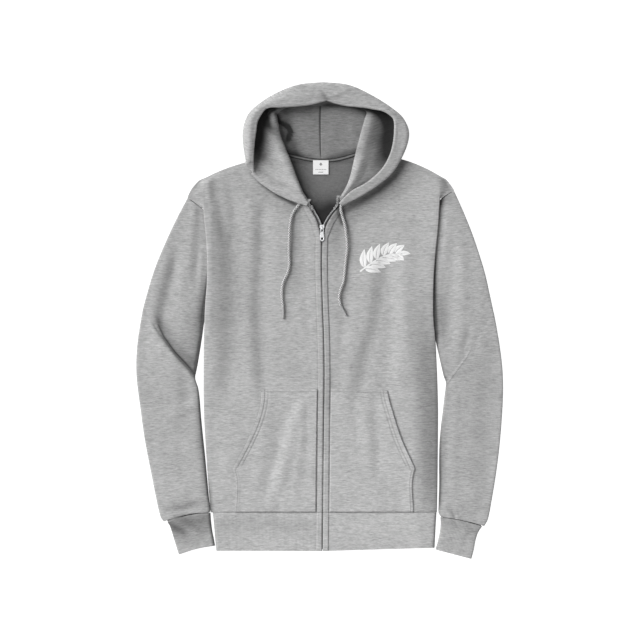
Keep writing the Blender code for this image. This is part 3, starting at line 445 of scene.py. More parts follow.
def stitch_rings(line: Array, pitch: float, thread: float, length: float = 0.8) -> Array:
    """Stitches along a line: each is a short thread that arches out of the cloth and dips in at both ends.

    A ring's centre is the line's point at the stitch's place plus half the thread's height of arch, and its
    radius is the thread's half width times the root of 1 - a^2, with a from -1 to 1 along the stitch.

    Args:
        line: points on the cloth's surface, close together.
        pitch: distance from one stitch to the next.
        thread: the thread's width.
        length: a stitch's length as a share of the pitch.

    Returns:
        Points [stitch, ring, corner, xyz].
    """
    run = reach(line)
    a = np.array([-1.0, -0.8, -0.3, 0.3, 0.8, 1.0])
    centres = np.arange(pitch * 0.6, run[-1] - pitch * 0.4, pitch)
    at = centres[:, None] + a[None] * pitch * length / 2
    spots = np.stack([np.interp(at, run, line[:, c]) for c in range(3)], axis=-1)
    ahead = unit(spots[:, -1:] - spots[:, :1])
    aside = unit(np.cross(ahead, [0.0, 0.0, 1.0]))
    up = np.cross(aside, ahead)
    width = thread / 2 * np.sqrt(1.0 - 0.93 * a**2)
    spots = spots + up * (thread * (0.55 - 0.75 * a**2))[None, :, None]
    angles = np.arange(6) * math.pi / 3
    around = np.cos(angles)[:, None] * aside[:, :, None] - np.sin(angles)[:, None] * up[:, :, None]
    return spots[:, :, None] + around * width[None, :, None, None]


# ---------------------------------------------------------------- materials
def linear(colour: str) -> tuple[float, float, float, float]:
    """Linear RGBA of an sRGB hex colour such as "#a0a1a4"."""
    parts = [int(colour[i:i + 2], 16) / 255 for i in (1, 3, 5)]
    return (*[c / 12.92 if c <= 0.04045 else ((c + 0.055) / 1.055) ** 2.4 for c in parts], 1.0)


def add_node(tree: bpy.types.NodeTree, kind: str, settings: dict | None = None,
             inputs: dict | None = None) -> bpy.types.NodeSocket:
    """Adds one node with its settings and links.

    Args:
        tree: the node tree.
        kind: the node's type name.
        settings: values of the node's own properties.
        inputs: a value or another node's output for each input, by name or number.

    Returns:
        The node's first output.
    """
    node = tree.nodes.new(kind)
    for key, value in (settings or {}).items():
        setattr(node, key, value)
    for key, value in (inputs or {}).items():
        if isinstance(value, bpy.types.NodeSocket):
            tree.links.new(value, node.inputs[key])
        else:
            node.inputs[key].default_value = value
    return node.outputs[0]


def new_material(name: str, sockets: dict) -> tuple[bpy.types.Material, bpy.types.NodeTree, bpy.types.Node]:
    """A material with a Principled shader whose plain sockets are set.

    Args:
        name: the material's name.
        sockets: a value for each socket that is the same all over.

    Returns:
        The material, its node tree and its shader.
    """
    made = bpy.data.materials.new(name)
    made.use_nodes = True
    shader = made.node_tree.nodes["Principled BSDF"]
    for key, value in sockets.items():
        shader.inputs[key].default_value = value
    return made, made.node_tree, shader


def weave_place(tree: bpy.types.NodeTree, wander: float, span: float) -> bpy.types.NodeSocket:
    """The weave coordinates in millimetres, with the courses wandering up and down a little, as handled
    cloth's do.

    Args:
        tree: the material's node tree.
        wander: how far a course wanders, in millimetres.
        span: distance over which it does, in millimetres.

    Returns:
        The place as a vector.
    """
    uv = add_node(tree, "ShaderNodeUVMap", {"uv_map": WEAVE})
    flat = add_node(tree, "ShaderNodeVectorMath", {"operation": "SCALE"}, {0: uv, "Scale": 1 / MM})
    slow = add_node(tree, "ShaderNodeVectorMath", {"operation": "SCALE"}, {0: flat, "Scale": 1 / span})
    shift = add_node(tree, "ShaderNodeTexNoise", {}, {"Vector": slow, "Scale": 1.0, "Detail": 2.0})
    rise = add_node(tree, "ShaderNodeMath", {"operation": "MULTIPLY_ADD"},
                    {0: shift, 1: 2 * wander, 2: -wander})
    lift = add_node(tree, "ShaderNodeCombineXYZ", {}, {"Y": rise})
    return add_node(tree, "ShaderNodeVectorMath", {"operation": "ADD"}, {0: flat, 1: lift})


def streaks(tree: bpy.types.NodeTree, place: bpy.types.NodeSocket, long: float, thick: float, detail: float,
            seed: float) -> bpy.types.NodeSocket:
    """Noise drawn out along the courses: lens-shaped streaks about long by thick millimetres, round a mean
    of 0.5.

    Args:
        tree: the material's node tree.
        place: place on the cloth in millimetres.
        long: a streak's length.
        thick: a streak's thickness.
        detail: the noise's detail.
        seed: third coordinate, which sets the pattern apart from the others.

    Returns:
        The noise's value.
    """
    scaled = add_node(tree, "ShaderNodeVectorMath", {"operation": "MULTIPLY_ADD"},
                      {0: place, 1: (1 / long, 1 / thick, 0.0), 2: (0.0, 0.0, seed)})
    return add_node(tree, "ShaderNodeTexNoise", {},
                    {"Vector": scaled, "Scale": 1.0, "Detail": detail, "Roughness": 0.6})


def weigh(tree: bpy.types.NodeTree, parts: list[tuple[bpy.types.NodeSocket, float]],
          start: float = 0.5) -> bpy.types.NodeSocket:
    """start plus the sum of weight times (value - 0.5).

    Args:
        tree: the material's node tree.
        parts: pairs of a value and its weight.
        start: the mean.

    Returns:
        The sum's output.
    """
    total: bpy.types.NodeSocket | float = start - 0.5 * sum(weight for _, weight in parts)
    for value, weight in parts:
        total = add_node(tree, "ShaderNodeMath", {"operation": "MULTIPLY_ADD"},
                         {0: value, 1: weight, 2: total})
    return total


def emboss(tree: bpy.types.NodeTree, shader: bpy.types.Node, height: bpy.types.NodeSocket, strength: float,
           depth: float) -> None:
    """Lets a height shape the shader's surface: strength from 0 to 1, depth in millimetres."""
    bump = add_node(tree, "ShaderNodeBump", {},
                    {"Strength": strength, "Distance": depth * MM, "Height": height})
    tree.links.new(bump, shader.inputs["Normal"])


def tint(tree: bpy.types.NodeTree, tone: bpy.types.NodeSocket, dark: str, light: str,
         painted_shade_share: float = 0.0) -> bpy.types.NodeSocket:
    """Colour between dark and light by tone, darker where the hollow attribute is high.

    Args:
        tree: the material's node tree.
        tone: 0 for the dark colour and 1 for the light one.
        dark: sRGB hex.
        light: sRGB hex.
        painted_shade_share: share of the colour that the painted shade takes away where it is 1.

    Returns:
        The colour's output.
    """
    low, high = np.array(linear(dark)[:3]), np.array(linear(light)[:3])
    colour = add_node(tree, "ShaderNodeVectorMath", {"operation": "MULTIPLY_ADD"},
                      {0: tone, 1: tuple(high - low), 2: tuple(low)})
    if not painted_shade_share:
        return colour
    # depth is the painted shade attribute's value, which darkens the colour below.
    depth = add_node(tree, "ShaderNodeAttribute", {"attribute_name": PAINTED_SHADE}).node.outputs["Fac"]
    kept = add_node(tree, "ShaderNodeMath", {"operation": "MULTIPLY_ADD", "use_clamp": True},
                    {0: depth, 1: -painted_shade_share, 2: 1.0})
    return add_node(tree, "ShaderNodeVectorMath", {"operation": "SCALE"}, {0: colour, "Scale": kept})


@dataclass(frozen=True)
class HeatherFleece:
    """Heather fleece: cotton and polyester jersey knitted from melange yarn, its back brushed.

    Light and dark fibres lie along each yarn, so the face shows thin streaks along the courses that break up
    after a few centimetres. The real fibre streaks are under a millimetre thick; they are drawn 2 to 3 mm
    thick so that they show at the camera's distance, with finer ones among them.
    """

    name: str = "heather_cotton_fleece"
    dark: str = "#7e7e7e"
    light: str = "#d5d5d5"
    painted_shade_share: float = 0.8

    def make(self) -> bpy.types.Material:
        """The material, with streaks, soft pile and a jersey knit's fine columns."""
        made, tree, shader = new_material(self.name, {
            "Roughness": 0.92, "Sheen Weight": 0.18, "Sheen Roughness": 0.55, "Specular IOR Level": 0.25})
        place = weave_place(tree, wander=0.5, span=44.0)
        broad = streaks(tree, place, 70.0, 36.0, 2.0, 3.1)
        bold = streaks(tree, place, 13.0, 2.0, 2.0, 11.7)
        thin = streaks(tree, place, 7.0, 1.3, 2.0, 23.9)
        fibre = streaks(tree, place, 2.4, 0.5, 2.0, 31.3)
        tone = weigh(tree, [(broad, 0.25), (bold, 0.9), (thin, 0.74), (fibre, 0.4)])
        tree.links.new(tint(tree, tone, self.dark, self.light, self.painted_shade_share),
                       shader.inputs["Base Color"])
        wales = add_node(tree, "ShaderNodeVectorMath", {"operation": "MULTIPLY"},
                         {0: place, 1: (2 * math.pi / 1.7, 2 * math.pi / 1.3, 0.0)})
        split = add_node(tree, "ShaderNodeSeparateXYZ", {}, {0: wales}).node.outputs
        column = add_node(tree, "ShaderNodeMath", {"operation": "SINE"}, {0: split["X"]})
        course = add_node(tree, "ShaderNodeMath", {"operation": "SINE"}, {0: split["Y"]})
        height = weigh(tree, [(bold, 0.6), (thin, 0.9), (fibre, 0.8), (column, 0.12), (course, 0.08)])
        emboss(tree, shader, height, 0.4, 0.35)
        return made


@dataclass(frozen=True)
class BrushedFleece:
    """Brushed fleece: the same cloth's inside, its loops raised with wire brushes into a short soft pile.

    Its tone is darker and plainer than the face, with soft clumps 2 to 4 mm across: partly the pile's own
    tone, partly painted shade, as the garment's inside lies in shade.
    """

    name: str = "brushed_fleece_inside"
    dark: str = "#525252"
    light: str = "#848484"
    painted_shade_share: float = 0.95

    def make(self) -> bpy.types.Material:
        """The material, with clumps of pile and faint streaks."""
        made, tree, shader = new_material(self.name, {
            "Roughness": 0.97, "Sheen Weight": 0.2, "Sheen Roughness": 0.7, "Specular IOR Level": 0.2})
        place = weave_place(tree, wander=2.0, span=30.0)
        clump = streaks(tree, place, 3.6, 2.4, 3.0, 5.5)
        streak = streaks(tree, place, 11.0, 2.0, 2.0, 17.1)
        broad = streaks(tree, place, 60.0, 50.0, 2.0, 41.0)
        tone = weigh(tree, [(clump, 0.7), (streak, 0.6), (broad, 0.5)])
        tree.links.new(tint(tree, tone, self.dark, self.light, self.painted_shade_share),
                       shader.inputs["Base Color"])
        height = weigh(tree, [(clump, 1.2), (streak, 0.5)])
        emboss(tree, shader, height, 0.6, 0.6)
        return made


@dataclass(frozen=True)
class RibKnit:
    """Rib knit: 1 x 1 rib of the same melange yarn with a little elastane, doubled for cuffs and waistband.

    Its ribs are 1.3 mm apart in the real cloth; they are drawn 2.6 mm apart so that close views show them,
    and kept shallow, because from the camera's distance the streaks along the courses are what shows.
    """

    name: str = "heather_rib_knit"
    dark: str = "#828282"
    light: str = "#dadada"
    pitch: float = 2.6

    def make(self) -> bpy.types.Material:
        """The material, with streaks across shallow ribs."""
        made, tree, shader = new_material(self.name, {
            "Roughness": 0.9, "Sheen Weight": 0.15, "Sheen Roughness": 0.5, "Specular IOR Level": 0.25})
        place = weave_place(tree, wander=2.6, span=26.0)
        broad = streaks(tree, place, 70.0, 30.0, 2.0, 7.7)
        bold = streaks(tree, place, 11.0, 2.2, 2.0, 13.3)
        thin = streaks(tree, place, 6.0, 1.1, 2.0, 29.1)
        turn = add_node(tree, "ShaderNodeVectorMath", {"operation": "MULTIPLY"},
                        {0: place, 1: (2 * math.pi / self.pitch, 1.0, 0.0)})
        angle = add_node(tree, "ShaderNodeSeparateXYZ", {}, {0: turn})
        rib = add_node(tree, "ShaderNodeMath", {"operation": "SINE"}, {0: angle})
        tone = weigh(tree, [(broad, 0.25), (bold, 0.9), (thin, 0.7), (rib, 0.03)])
        tree.links.new(tint(tree, tone, self.dark, self.light, 0.8), shader.inputs["Base Color"])
        height = weigh(tree, [(rib, 0.5), (bold, 0.5), (thin, 0.7)])
        emboss(tree, shader, height, 0.45, 0.4)
        return made


@dataclass(frozen=True)
class CottonThread:
    """Cotton thread, braid or tape: one yarn colour with a soft unevenness from its fine twist."""

    name: str
    dark: str
    light: str
    grain: float = 1.2
    roughness: float = 0.85

    def make(self) -> bpy.types.Material:
        """The material, with unevenness a grain wide, on Object coordinates."""
        made, tree, shader = new_material(self.name, {"Roughness": self.roughness, "Sheen Weight": 0.1})
        place = add_node(tree, "ShaderNodeTexCoord").node.outputs["Object"]
        fine = add_node(tree, "ShaderNodeTexNoise", {},
                        {"Vector": place, "Scale": 1 / (self.grain * MM), "Detail": 2.0})
        tone = weigh(tree, [(fine, 1.6)])
        tree.links.new(tint(tree, tone, self.dark, self.light), shader.inputs["Base Color"])
        return made


@dataclass(frozen=True)
class BraidedCord:
    """Braided cotton drawcord: two sets of yarns crossing on the slant round a soft core, ends dipped and
    cut.

    The yarns' crossings show as rows of slanted dots along the cord: the crests are light and the low places
    between them are painted dark, as shade.
    """

    name: str = "braided_cotton_drawcord"
    dark: str = "#2b2b2b"
    light: str = "#cacaca"

    def make(self) -> bpy.types.Material:
        """The material: yarn crests light and the low places between them dark, as painted shade, by the crest
        attribute, with fibre streaks on the weave map.
        """
        made, tree, shader = new_material(self.name, {"Roughness": 0.85, "Sheen Weight": 0.15})
        crest = add_node(tree, "ShaderNodeAttribute", {"attribute_name": CREST}).node.outputs["Fac"]
        place = weave_place(tree, wander=0.2, span=8.0)
        fibre = streaks(tree, place, 2.2, 0.5, 2.0, 3.3)
        tone = weigh(tree, [(crest, 1.8), (fibre, 0.6)], start=0.46)
        tree.links.new(tint(tree, tone, self.dark, self.light), shader.inputs["Base Color"])
        return made


@dataclass(frozen=True)
class DieCastMetal:
    """Nickel-plated zinc die casting: grey-white metal, tumbled smooth, with fine handling scratches."""

    name: str = "nickel_plated_zinc"
    colour: str = "#d9dadb"
    roughness: float = 0.28

    def make(self) -> bpy.types.Material:
        """The material: plated metal whose roughness varies a little where fingers rub it."""
        made, tree, shader = new_material(self.name, {"Base Color": linear(self.colour), "Metallic": 1.0})
        place = add_node(tree, "ShaderNodeTexCoord").node.outputs["Object"]
        cloudy = add_node(tree, "ShaderNodeTexNoise", {}, {"Vector": place, "Scale": 420.0, "Detail": 3.0})
        rough = weigh(tree, [(cloudy, 0.35)], start=self.roughness)
        tree.links.new(rough, shader.inputs["Roughness"])
        return made


@dataclass(frozen=True)
class PlastisolPrint:
    """Plastisol screen print: white ink cured on the cloth, 0.1 mm thick, that takes on the knit's grain."""

    name: str = "white_plastisol_print"

    def make(self) -> bpy.types.Material:
        """The material: white with a faint grain of the yarns under it."""
        made, tree, shader = new_material(self.name, {"Roughness": 0.55, "Specular IOR Level": 0.4})
        place = weave_place(tree, wander=1.5, span=38.0)
        grain = streaks(tree, place, 5.0, 1.0, 2.0, 9.9)
        tone = weigh(tree, [(grain, 1.2)])
        tree.links.new(tint(tree, tone, "#e6e6e6", "#fbfbfb"), shader.inputs["Base Color"])
        emboss(tree, shader, grain, 0.3, 0.2)
        return made


@dataclass(frozen=True)
class WovenLabel:
    """Woven label: white polyester satin, thread by thread, its cut ends folded under."""

    name: str = "white_satin_label"

    def make(self) -> bpy.types.Material:
        """The material: white satin with the weft's fine lines."""
        made, tree, shader = new_material(self.name, {"Roughness": 0.5, "Sheen Weight": 0.1})
        place = weave_place(tree, wander=0.1, span=20.0)
        weft = streaks(tree, place, 9.0, 0.5, 2.0, 19.9)
        tone = weigh(tree, [(weft, 1.0)])
        tree.links.new(tint(tree, tone, "#e9e9ea", "#fdfdfd"), shader.inputs["Base Color"])
        emboss(tree, shader, weft, 0.4, 0.15)
        return made


class Slot(Enum):
    """The record's material slots."""

    FLEECE = "heather_fleece"
    INSIDE = "brushed_inside"
    RIB = "rib_knit"
    CORD = "drawcord"
    TAPE = "zip_tape"
    METAL = "zip_metal"
    LABEL = "woven_label"
    THREAD = "sewing_thread"
    PRINT = "print_ink"


class Wardrobe:
    """Every finish of the garment, made once."""

    def __init__(self) -> None:
        """Makes the materials."""
        self.fleece = HeatherFleece().make()
        # The same fleece for the hood and the seam strips, its painted shade darkening it further.
        self.hood = HeatherFleece(name="heather_fleece_deep_painted_shade", painted_shade_share=0.93).make()
        self.inside = BrushedFleece().make()
        self.rib = RibKnit().make()
        self.thread = CottonThread("grey_sewing_thread", "#7c7c7c", "#b4b4b4").make()
        self.tape = CottonThread("grey_zip_tape", "#3c3c3c", "#6a6a6a", grain=0.8).make()
        self.cord = BraidedCord().make()
        self.tip = CottonThread("dipped_cord_end", "#868686", "#b4b4b4", grain=0.8, roughness=0.5).make()
        self.fray = CottonThread("frayed_tape_end", "#2e2e2e", "#d8d8d8", grain=1.6).make()
        self.metal = DieCastMetal().make()
        self.teeth = DieCastMetal("nickel_silver_teeth", "#d4d5d6", 0.34).make()
        # A dark copy of the teeth's metal: painted shade for the teeth inside the closed zip.
        self.shaded_teeth = DieCastMetal("nickel_silver_teeth_painted_shade", "#3c3c3c", 0.6).make()
        # Near-black metal: painted shade for the slider's inside, seen through the top plate's slot.
        self.slider_inside_shade = DieCastMetal("slider_inside_painted_shade", "#161616", 0.7).make()
        self.printed = PlastisolPrint().make()
        self.label = WovenLabel().make()
        self.mark = CottonThread("dark_label_weft", "#303030", "#505050", grain=0.6).make()


def dress(piece: bpy.types.Object, slot: Slot, *materials: bpy.types.Material, nodes: tuple[str, ...] = (),
          body: str = "root") -> bpy.types.Object:
    """Gives a piece its materials and its CAD body, and hides the CAD nodes that it stands for.

    Args:
        piece: the object.
        slot: the record's slot; not used.
        *materials: outer finish first, inner finish second.
        nodes: CAD nodes that the piece replaces.
        body: the CAD body that the piece rides on.

    Returns:
        The same object.
    """
    for material in materials:
        piece.data.materials.append(material)
    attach(piece, body)
    if nodes:
        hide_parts(*nodes)
    return piece


def add_wall(piece: bpy.types.Object, thickness: float, inner: bool = False) -> None:
    """Solidify: half the thickness to each side of the grid, the inner side in the second material if asked.
    """
    wall = piece.modifiers.new("wall", "SOLIDIFY")
    wall.thickness = thickness * MM
    wall.offset = 0.0
    wall.use_rim = True
    wall.material_offset = 1 if inner else 0


# ---------------------------------------------------------------- studio
@dataclass(frozen=True)
class Studio:
    """Camera straight above, soft box at the upper left, fill panel over the hem and a white light table."""

    height: float = 4.0
    view_width: float = 1.218
    centre: tuple[float, float] = (0.0006, 0.0004)
    sun_from: tuple[float, float, float] = (-0.72, 0.37, 0.64)
    sun_strength: float = 3.38
    sun_angle: float = 48.0
    sky_strength: float = 0.14
    panel_place: tuple[float, float, float] = (0.02, -0.42, 0.9)
    panel_size: float = 0.6
    panel_power: float = 2.6
    card_size: float = 3.0
    card_power: float = 30.0
    table_half: float = 3.0

    def place_camera(self) -> None:
        """The scene's camera: at the given height, with a lens that shows view_width across the table."""
        data = bpy.data.cameras.new("camera")
        data.sensor_width = 36.0
        data.lens = data.sensor_width * self.height / self.view_width
        camera = show("camera", data)
        camera.location = (*self.centre, self.height)
        bpy.context.scene.camera = camera

    @staticmethod
    def hang(name: str, kind: str, **values: float) -> bpy.types.Object:
        """A lamp of the given kind with its values set."""
        data = bpy.data.lights.new(name, kind)
        for key, value in values.items():
            setattr(data, key, value)
        return show(name, data)

    def light(self) -> None:
        """A broad sun for the soft box, a panel over the hem, a card for metal to mirror, and a pale sky."""
        lamp = self.hang("soft_box", "SUN", energy=self.sun_strength, angle=math.radians(self.sun_angle))
        lamp.rotation_euler = Vector(self.sun_from).to_track_quat("Z", "Y").to_euler()
        panel = self.hang("fill_panel", "AREA", energy=self.panel_power, size=self.panel_size)
        panel.location = self.panel_place
        panel.visible_camera = False
        card = self.hang("white_card", "AREA", energy=self.card_power, size=self.card_size)
        card.location.z = self.height + 1.0
        card.visible_camera = card.visible_diffuse = False
        world = bpy.data.worlds.new("pale_room")
        world.use_nodes = True
        back = world.node_tree.nodes["Background"]
        back.inputs["Color"].default_value = (1.0, 1.0, 1.0, 1.0)
        back.inputs["Strength"].default_value = self.sky_strength
        bpy.context.scene.world = world
        bpy.context.scene.view_settings.view_transform = "Standard"

    def lay_floor(self) -> None:
        """A white acrylic light table: it glows a little, so shadows on it stay soft."""
        made, *_ = new_material("opal_acrylic_table", {
            "Base Color": (0.22, 0.22, 0.22, 1.0), "Roughness": 0.7, "Emission Color": (1.0, 1.0, 1.0, 1.0),
            "Emission Strength": 1.0})
        corners = np.array([(-1, -1, 0), (1, -1, 0), (1, 1, 0), (-1, 1, 0)]) * self.table_half / MM
        mesh = new_mesh("floor", corners, [[0, 1, 2, 3]], smooth=False)
        mesh.materials.append(made)
        floor = show("floor", mesh)
        floor.location.z = -0.0004


# ---------------------------------------------------------------- fronts
FRONT_FOLDS = (
    Fold(((-204, 262), (-196, 205), (-189, 165)), 12, drop=1.8),
    Fold(((-174, 238), (-168, 195), (-172, 150)), 11, drop=1.3),
    Fold(((-185, 150), (-180, 100), (-180, 0), (-184, -70)), 27, drop=5.0, shade=0.09),
    Fold(((-186, -90), (-190, -150)), 24, drop=1.3),
    Fold(((-116, 262), (-121, 120), (-125, 40), (-124, -20), (-118, -110)), 16, drop=3.4, shade=0.05),
    Fold(((-92, 200), (-90, 30)), 19, drop=-1.5),
    Fold(((-50, -180), (-62, -215), (-72, -260), (-90, -315)), 14, drop=-3.4),
    Fold(((-88, -160), (-98, -240), (-104, -275)), 17, drop=1.4),
    Fold(((-190, -190), (-186, -310)), 22, drop=-1.2),
    Fold(((110, 90), (100, 0), (84, -50), (71, -110)), 19, drop=3.6, shade=0.04),
    Fold(((150, 95), (148, 20), (144, -60), (138, -120)), 21, drop=-3.0),
    Fold(((64, 70), (56, 0), (48, -60)), 15, drop=-1.2),
    Fold(((192, 0), (198, -110), (203, -300)), 27, drop=5.0, shade=0.12),
    Fold(((96, -165), (104, -262)), 15, drop=2.4, shade=0.03),
)
# Smaller creases, listed one by one: uneven, as a garment's are that was smoothed out with the palm.
FRONT_CREASES = (
    Fold(((-208, 262), (-206, 238)), 7, drop=0.8, shade=0.08),
    Fold(((-213, 190), (-212, 60), (-216, -20)), 7, drop=-2.2),
    Fold(((-30, -230), (-42, -335)), 12, drop=1.0), Fold(((-50, 205), (-48, 70)), 13, shade=0.13),
    Fold(((-30, 20), (-28, -10)), 9, drop=0.8), Fold(((-22, 190), (-16, 40)), 11, drop=-1.4),
    Fold(((30, -40), (34, -120)), 9, drop=0.8), Fold(((70, -300), (110, -340)), 16, height=0.8),
    Fold(((178, 235), (196, 190)), 13, drop=-0.8), Fold(((168, 60), (172, -40)), 12, drop=0.8),
    Fold(((-158, 240), (-148, 190)), 12, drop=-0.8), Fold(((-140, 30), (-140, -60)), 24, shade=0.10),
    Fold(((-30, -175), (-28, -240)), 9, drop=0.8), Fold(((60, -160), (66, -230)), 10, drop=0.6),
    Fold(((-60, -322), (-40, -352)), 26, shade=0.07), Fold(((-84, -330), (-80, -356)), 8, height=-0.9),
    Fold(((150, -335), (156, -356)), 8, height=-0.7), Fold(((-172, -262), (-196, -240)), 9, height=0.5),
    Fold(((60, -90), (60, -180)), 52, shade=0.09), Fold(((34, 40), (36, -20)), 12, drop=1.0),
    Fold(((22, -110), (22, -170)), 6, shade=0.12), Fold(((-150, 130), (-150, 70)), 22, shade=0.08),
    Fold(((-108, 30), (-108, -90)), 11, shade=0.06), Fold(((20, -130), (24, -160)), 16, shade=0.08),
    Fold(((190, -60), (200, -240)), 34, shade=0.10), Fold(((-100, -60), (-70, -130)), 45, shade=0.05),
)
# Painted shade at the shoulders' tips.
SHOULDER_SHADES = (
    Fold(((-240, 264), (-226, 240)), 11, shade=0.20), Fold(((238, 262), (245, 244)), 8, shade=0.14),
)
# Painted shade where the hood's lower edge, the cords, the pockets and the pull tab keep light off the fronts.
UNDER_HOOD = (
    Fold(((-132, 279), (-112, 260), (-92, 245)), 3.6, shade=0.26),
    Fold(((-110, 258), (-92, 245), (-70, 232.5), (-46, 221)), 4.0, shade=0.42),
    Fold(((-78, 235), (-64, 228), (-50, 221)), 4.4, shade=0.50),
    Fold(((-96, 238), (-62, 216)), 16, shade=0.15),
    Fold(((46, 208), (78, 224), (112, 246), (142, 273), (154, 294)), 7.6, shade=0.60),
    Fold(((58, 198), (100, 226), (128, 246)), 20, shade=0.33),
    Fold(((35, 215), (37.5, 200), (41.5, 187)), 3.2, shade=0.85),
    Fold(((-240, 262), (-228, 236)), 9, shade=0.14), Fold(((28, 205), (31, 160)), 16, shade=0.26),
    Fold(((30, 150), (34, 30)), 12, shade=0.07), Fold(((3.9, 157), (3.9, 152.6)), 3.6, shade=0.85),
    Fold(((-116, -150), (-140, -222), (-166, -282)), 8, shade=0.10),
)


# Distances of the columns beside the zip's edge, close together at the edge and at the strip's stitches.
STRIP_COLUMNS = np.array([0, .35, .8, 1.3, 1.9, 2.6, 3.6, 4.8, 6.0, 7.2, 8.1, 8.7, 9.2, 9.7, 10.2, 10.7,
                          11.2, 11.7, 12.3, 13.2])
# Painted shade in the groove along the zip's edge: y and the painted shade value.
ZIP_SHADES = ((-440, 0.18), (-280, 0.24), (-160, 0.60), (-50, 0.45), (100, 0.45), (158, 0.7))
# Knots of a front's rows: shares of the way up the side fold, and heights over the hem's seam on the zip's
# edge.
FOLD_SHARES = np.array([0, 12, 30, 60, 100, 145, 190, 235, 280, 320, 355, 390, 425, 460, 490, 515, 535, 553,
                        567]) / 580.0
ZIP_RISES = np.array([0, 12, 30, 60, 98, 140, 182, 224, 266, 304, 340, 374, 406, 436, 462, 484, 500, 516,
                      528, 540, 552, 564, 574, 581])


@dataclass(frozen=True)
class FrontPanel:
    """One front panel, from the zip's edge across the chest and round its side fold, with its sewn strip.

    `rows_below` counts the rows below the seam's end and `rows_above` those above it; `columns` counts the
    ones between the strip and the side fold, `turn_columns` those round the fold and `flat_columns` those of
    the return.
    """

    body: BodyHalf
    rows_below: int = 213
    rows_above: int = 81
    columns: int = 71
    turn_columns: int = 12
    flat_columns: int = 5

    @property
    def sign(self) -> int:
        """-1 on the wearer's right and 1 on the left."""
        return self.body.sign

    def zip_edge(self, y: Array) -> Array:
        """x of the zipped edge: half the gap from the zip's line below the slider, the open edge above it."""
        y = np.asarray(y, float)
        closed = along(ZIP_LINE, np.minimum(y, ZIP_TOP)) + self.sign * ZIP_HALF_GAP
        return np.where(y < ZIP_TOP, closed, along(self.body.opened, np.maximum(y, ZIP_TOP)))

    def stretch(self, y: Array) -> Array:
        """How much longer a level line across the zip's strip is than the strip's width."""
        return np.hypot(1.0, (self.zip_edge(y + 1.0) - self.zip_edge(y - 1.0)) / 2.0)

    def plain_top(self, x: Array, y: Array) -> Array:
        """Upper face's height with the broad folds alone, as the drawcord's route takes it."""
        return self.top(x, y, fine=False)

    def top(self, x: Array, y: Array, fine: bool = True) -> Array:
        """Upper face's height away from the rounded side fold.

        A quiet level, rising beside the fold as a bell of the distance to it, plus the folds' relief, plus
        the strip beside the zip with its stitched furrow.

        Args:
            x: places in plan.
            y: places in plan.
            fine: adds the creases and the furrow.

        Returns:
            Height at each place.
        """
        body = self.body
        from_zip = np.abs(x - self.zip_edge(y)) / self.stretch(y)
        from_fold = np.abs(along(body.fold, y) - x)
        beside_sleeve = ease((y - body.drop_end) / (body.underarm - body.drop_end))
        near_band = ease((HEM_SEAM_Y + 40.0 - y) / 40.0)
        side_top = SIDE_LOW + (SIDE_TOP - SIDE_LOW) * beside_sleeve - 0.4 * near_band
        height = FRONT_TOP + (side_top - FRONT_TOP) * bell(from_fold / 34.0)
        under_hood = ease((y - 205.0) / 30.0) * ease((from_fold - 30.0) / 40.0)
        height += relief(x, y, FRONT_FOLDS) * ease(from_zip / 40.0) * (1.0 - under_hood)
        strip = ease(from_zip / 2.5) * ease((WELT_WIDTH - from_zip) / 2.5) * (1.0 - under_hood)
        height = height + WELT_RISE * strip
        if fine:
            quiet = ease((from_zip - 12.0) / 24.0) * ease((from_fold + 2.0) / 14.0) * (1.0 - under_hood)
            height = height + relief(x, y, FRONT_CREASES) * quiet
            height = height + gathers(x, y - HEM_SEAM_Y, 0.5, 11.0, 1.0 + self.sign) * ease(from_zip / 20.0)
            furrow = 0.45 if self.sign < 0 else 0.9 * ease((172.0 - y) / 20.0)
            height = height - furrow * bell((from_zip - STITCH_IN) / 1.2) * (1.0 - under_hood)
            height = height + 0.10 * np.sin(y / 2.9 + np.sin(y / 17.0)) * bell((from_zip - 8.5) / 3.0)
        return height

    def plan(self) -> tuple[Array, Array]:
        """Rows and columns in plan: each row runs from the zip's edge, or the neck's, to the side fold.

        Returns:
            Points [row, column, xy], and the fold's y for each row.
        """
        body = self.body
        last = len(FOLD_SHARES)
        fold_knots = np.concatenate([HEM_SEAM_Y + FOLD_SHARES * (body.seam_end - HEM_SEAM_Y),
                                     [body.seam_end - 4.0], sorted(row[0] for row in body.shoulder)])
        count = len(fold_knots)
        corner = len(ZIP_RISES) - 1
        low_y = np.linspace(HEM_SEAM_Y, fold_knots[last], self.rows_below + 1)[:-1]
        rows = np.concatenate([np.interp(low_y, fold_knots, np.arange(count)),
                               np.linspace(last, count - 1, self.rows_above)])
        fold_y = along(np.column_stack([np.arange(count), fold_knots]).tolist(), rows)
        zip_y = along(np.column_stack([np.arange(corner + 1), HEM_SEAM_Y + ZIP_RISES]).tolist(),
                      np.minimum(rows, corner))
        neck_share = along(((corner, 0.0), (corner + 1, 0.22), (corner + 2, 0.46), (corner + 3, 0.72),
                            (corner + 4, 1.0)), np.maximum(rows, corner))
        start = np.where((rows < corner)[:, None], np.column_stack([self.zip_edge(zip_y), zip_y]),
                         path(body.neck, neck_share))
        end = np.stack([along(body.fold, fold_y) - self.sign * SIDE_ROLL, fold_y], axis=1)
        width = np.linalg.norm(end - start, axis=1)
        near = STRIP_COLUMNS * self.stretch(start[:, 1])[:, None] / width[:, None]
        wide = near[:, -1:] + (1 - near[:, -1:]) * np.linspace(0, 1, self.columns)[None, 1:]
        across = np.concatenate([near, wide], axis=1)
        plan = start[:, None] + (end - start)[:, None] * across[..., None]
        seam = path(body.seam, across[-1])
        lift = ease((fold_y - body.seam_end + 60.0) / (body.crease_top - body.seam_end + 60.0))
        return plan + (seam - plan[-1])[None] * lift[:, None, None], fold_y

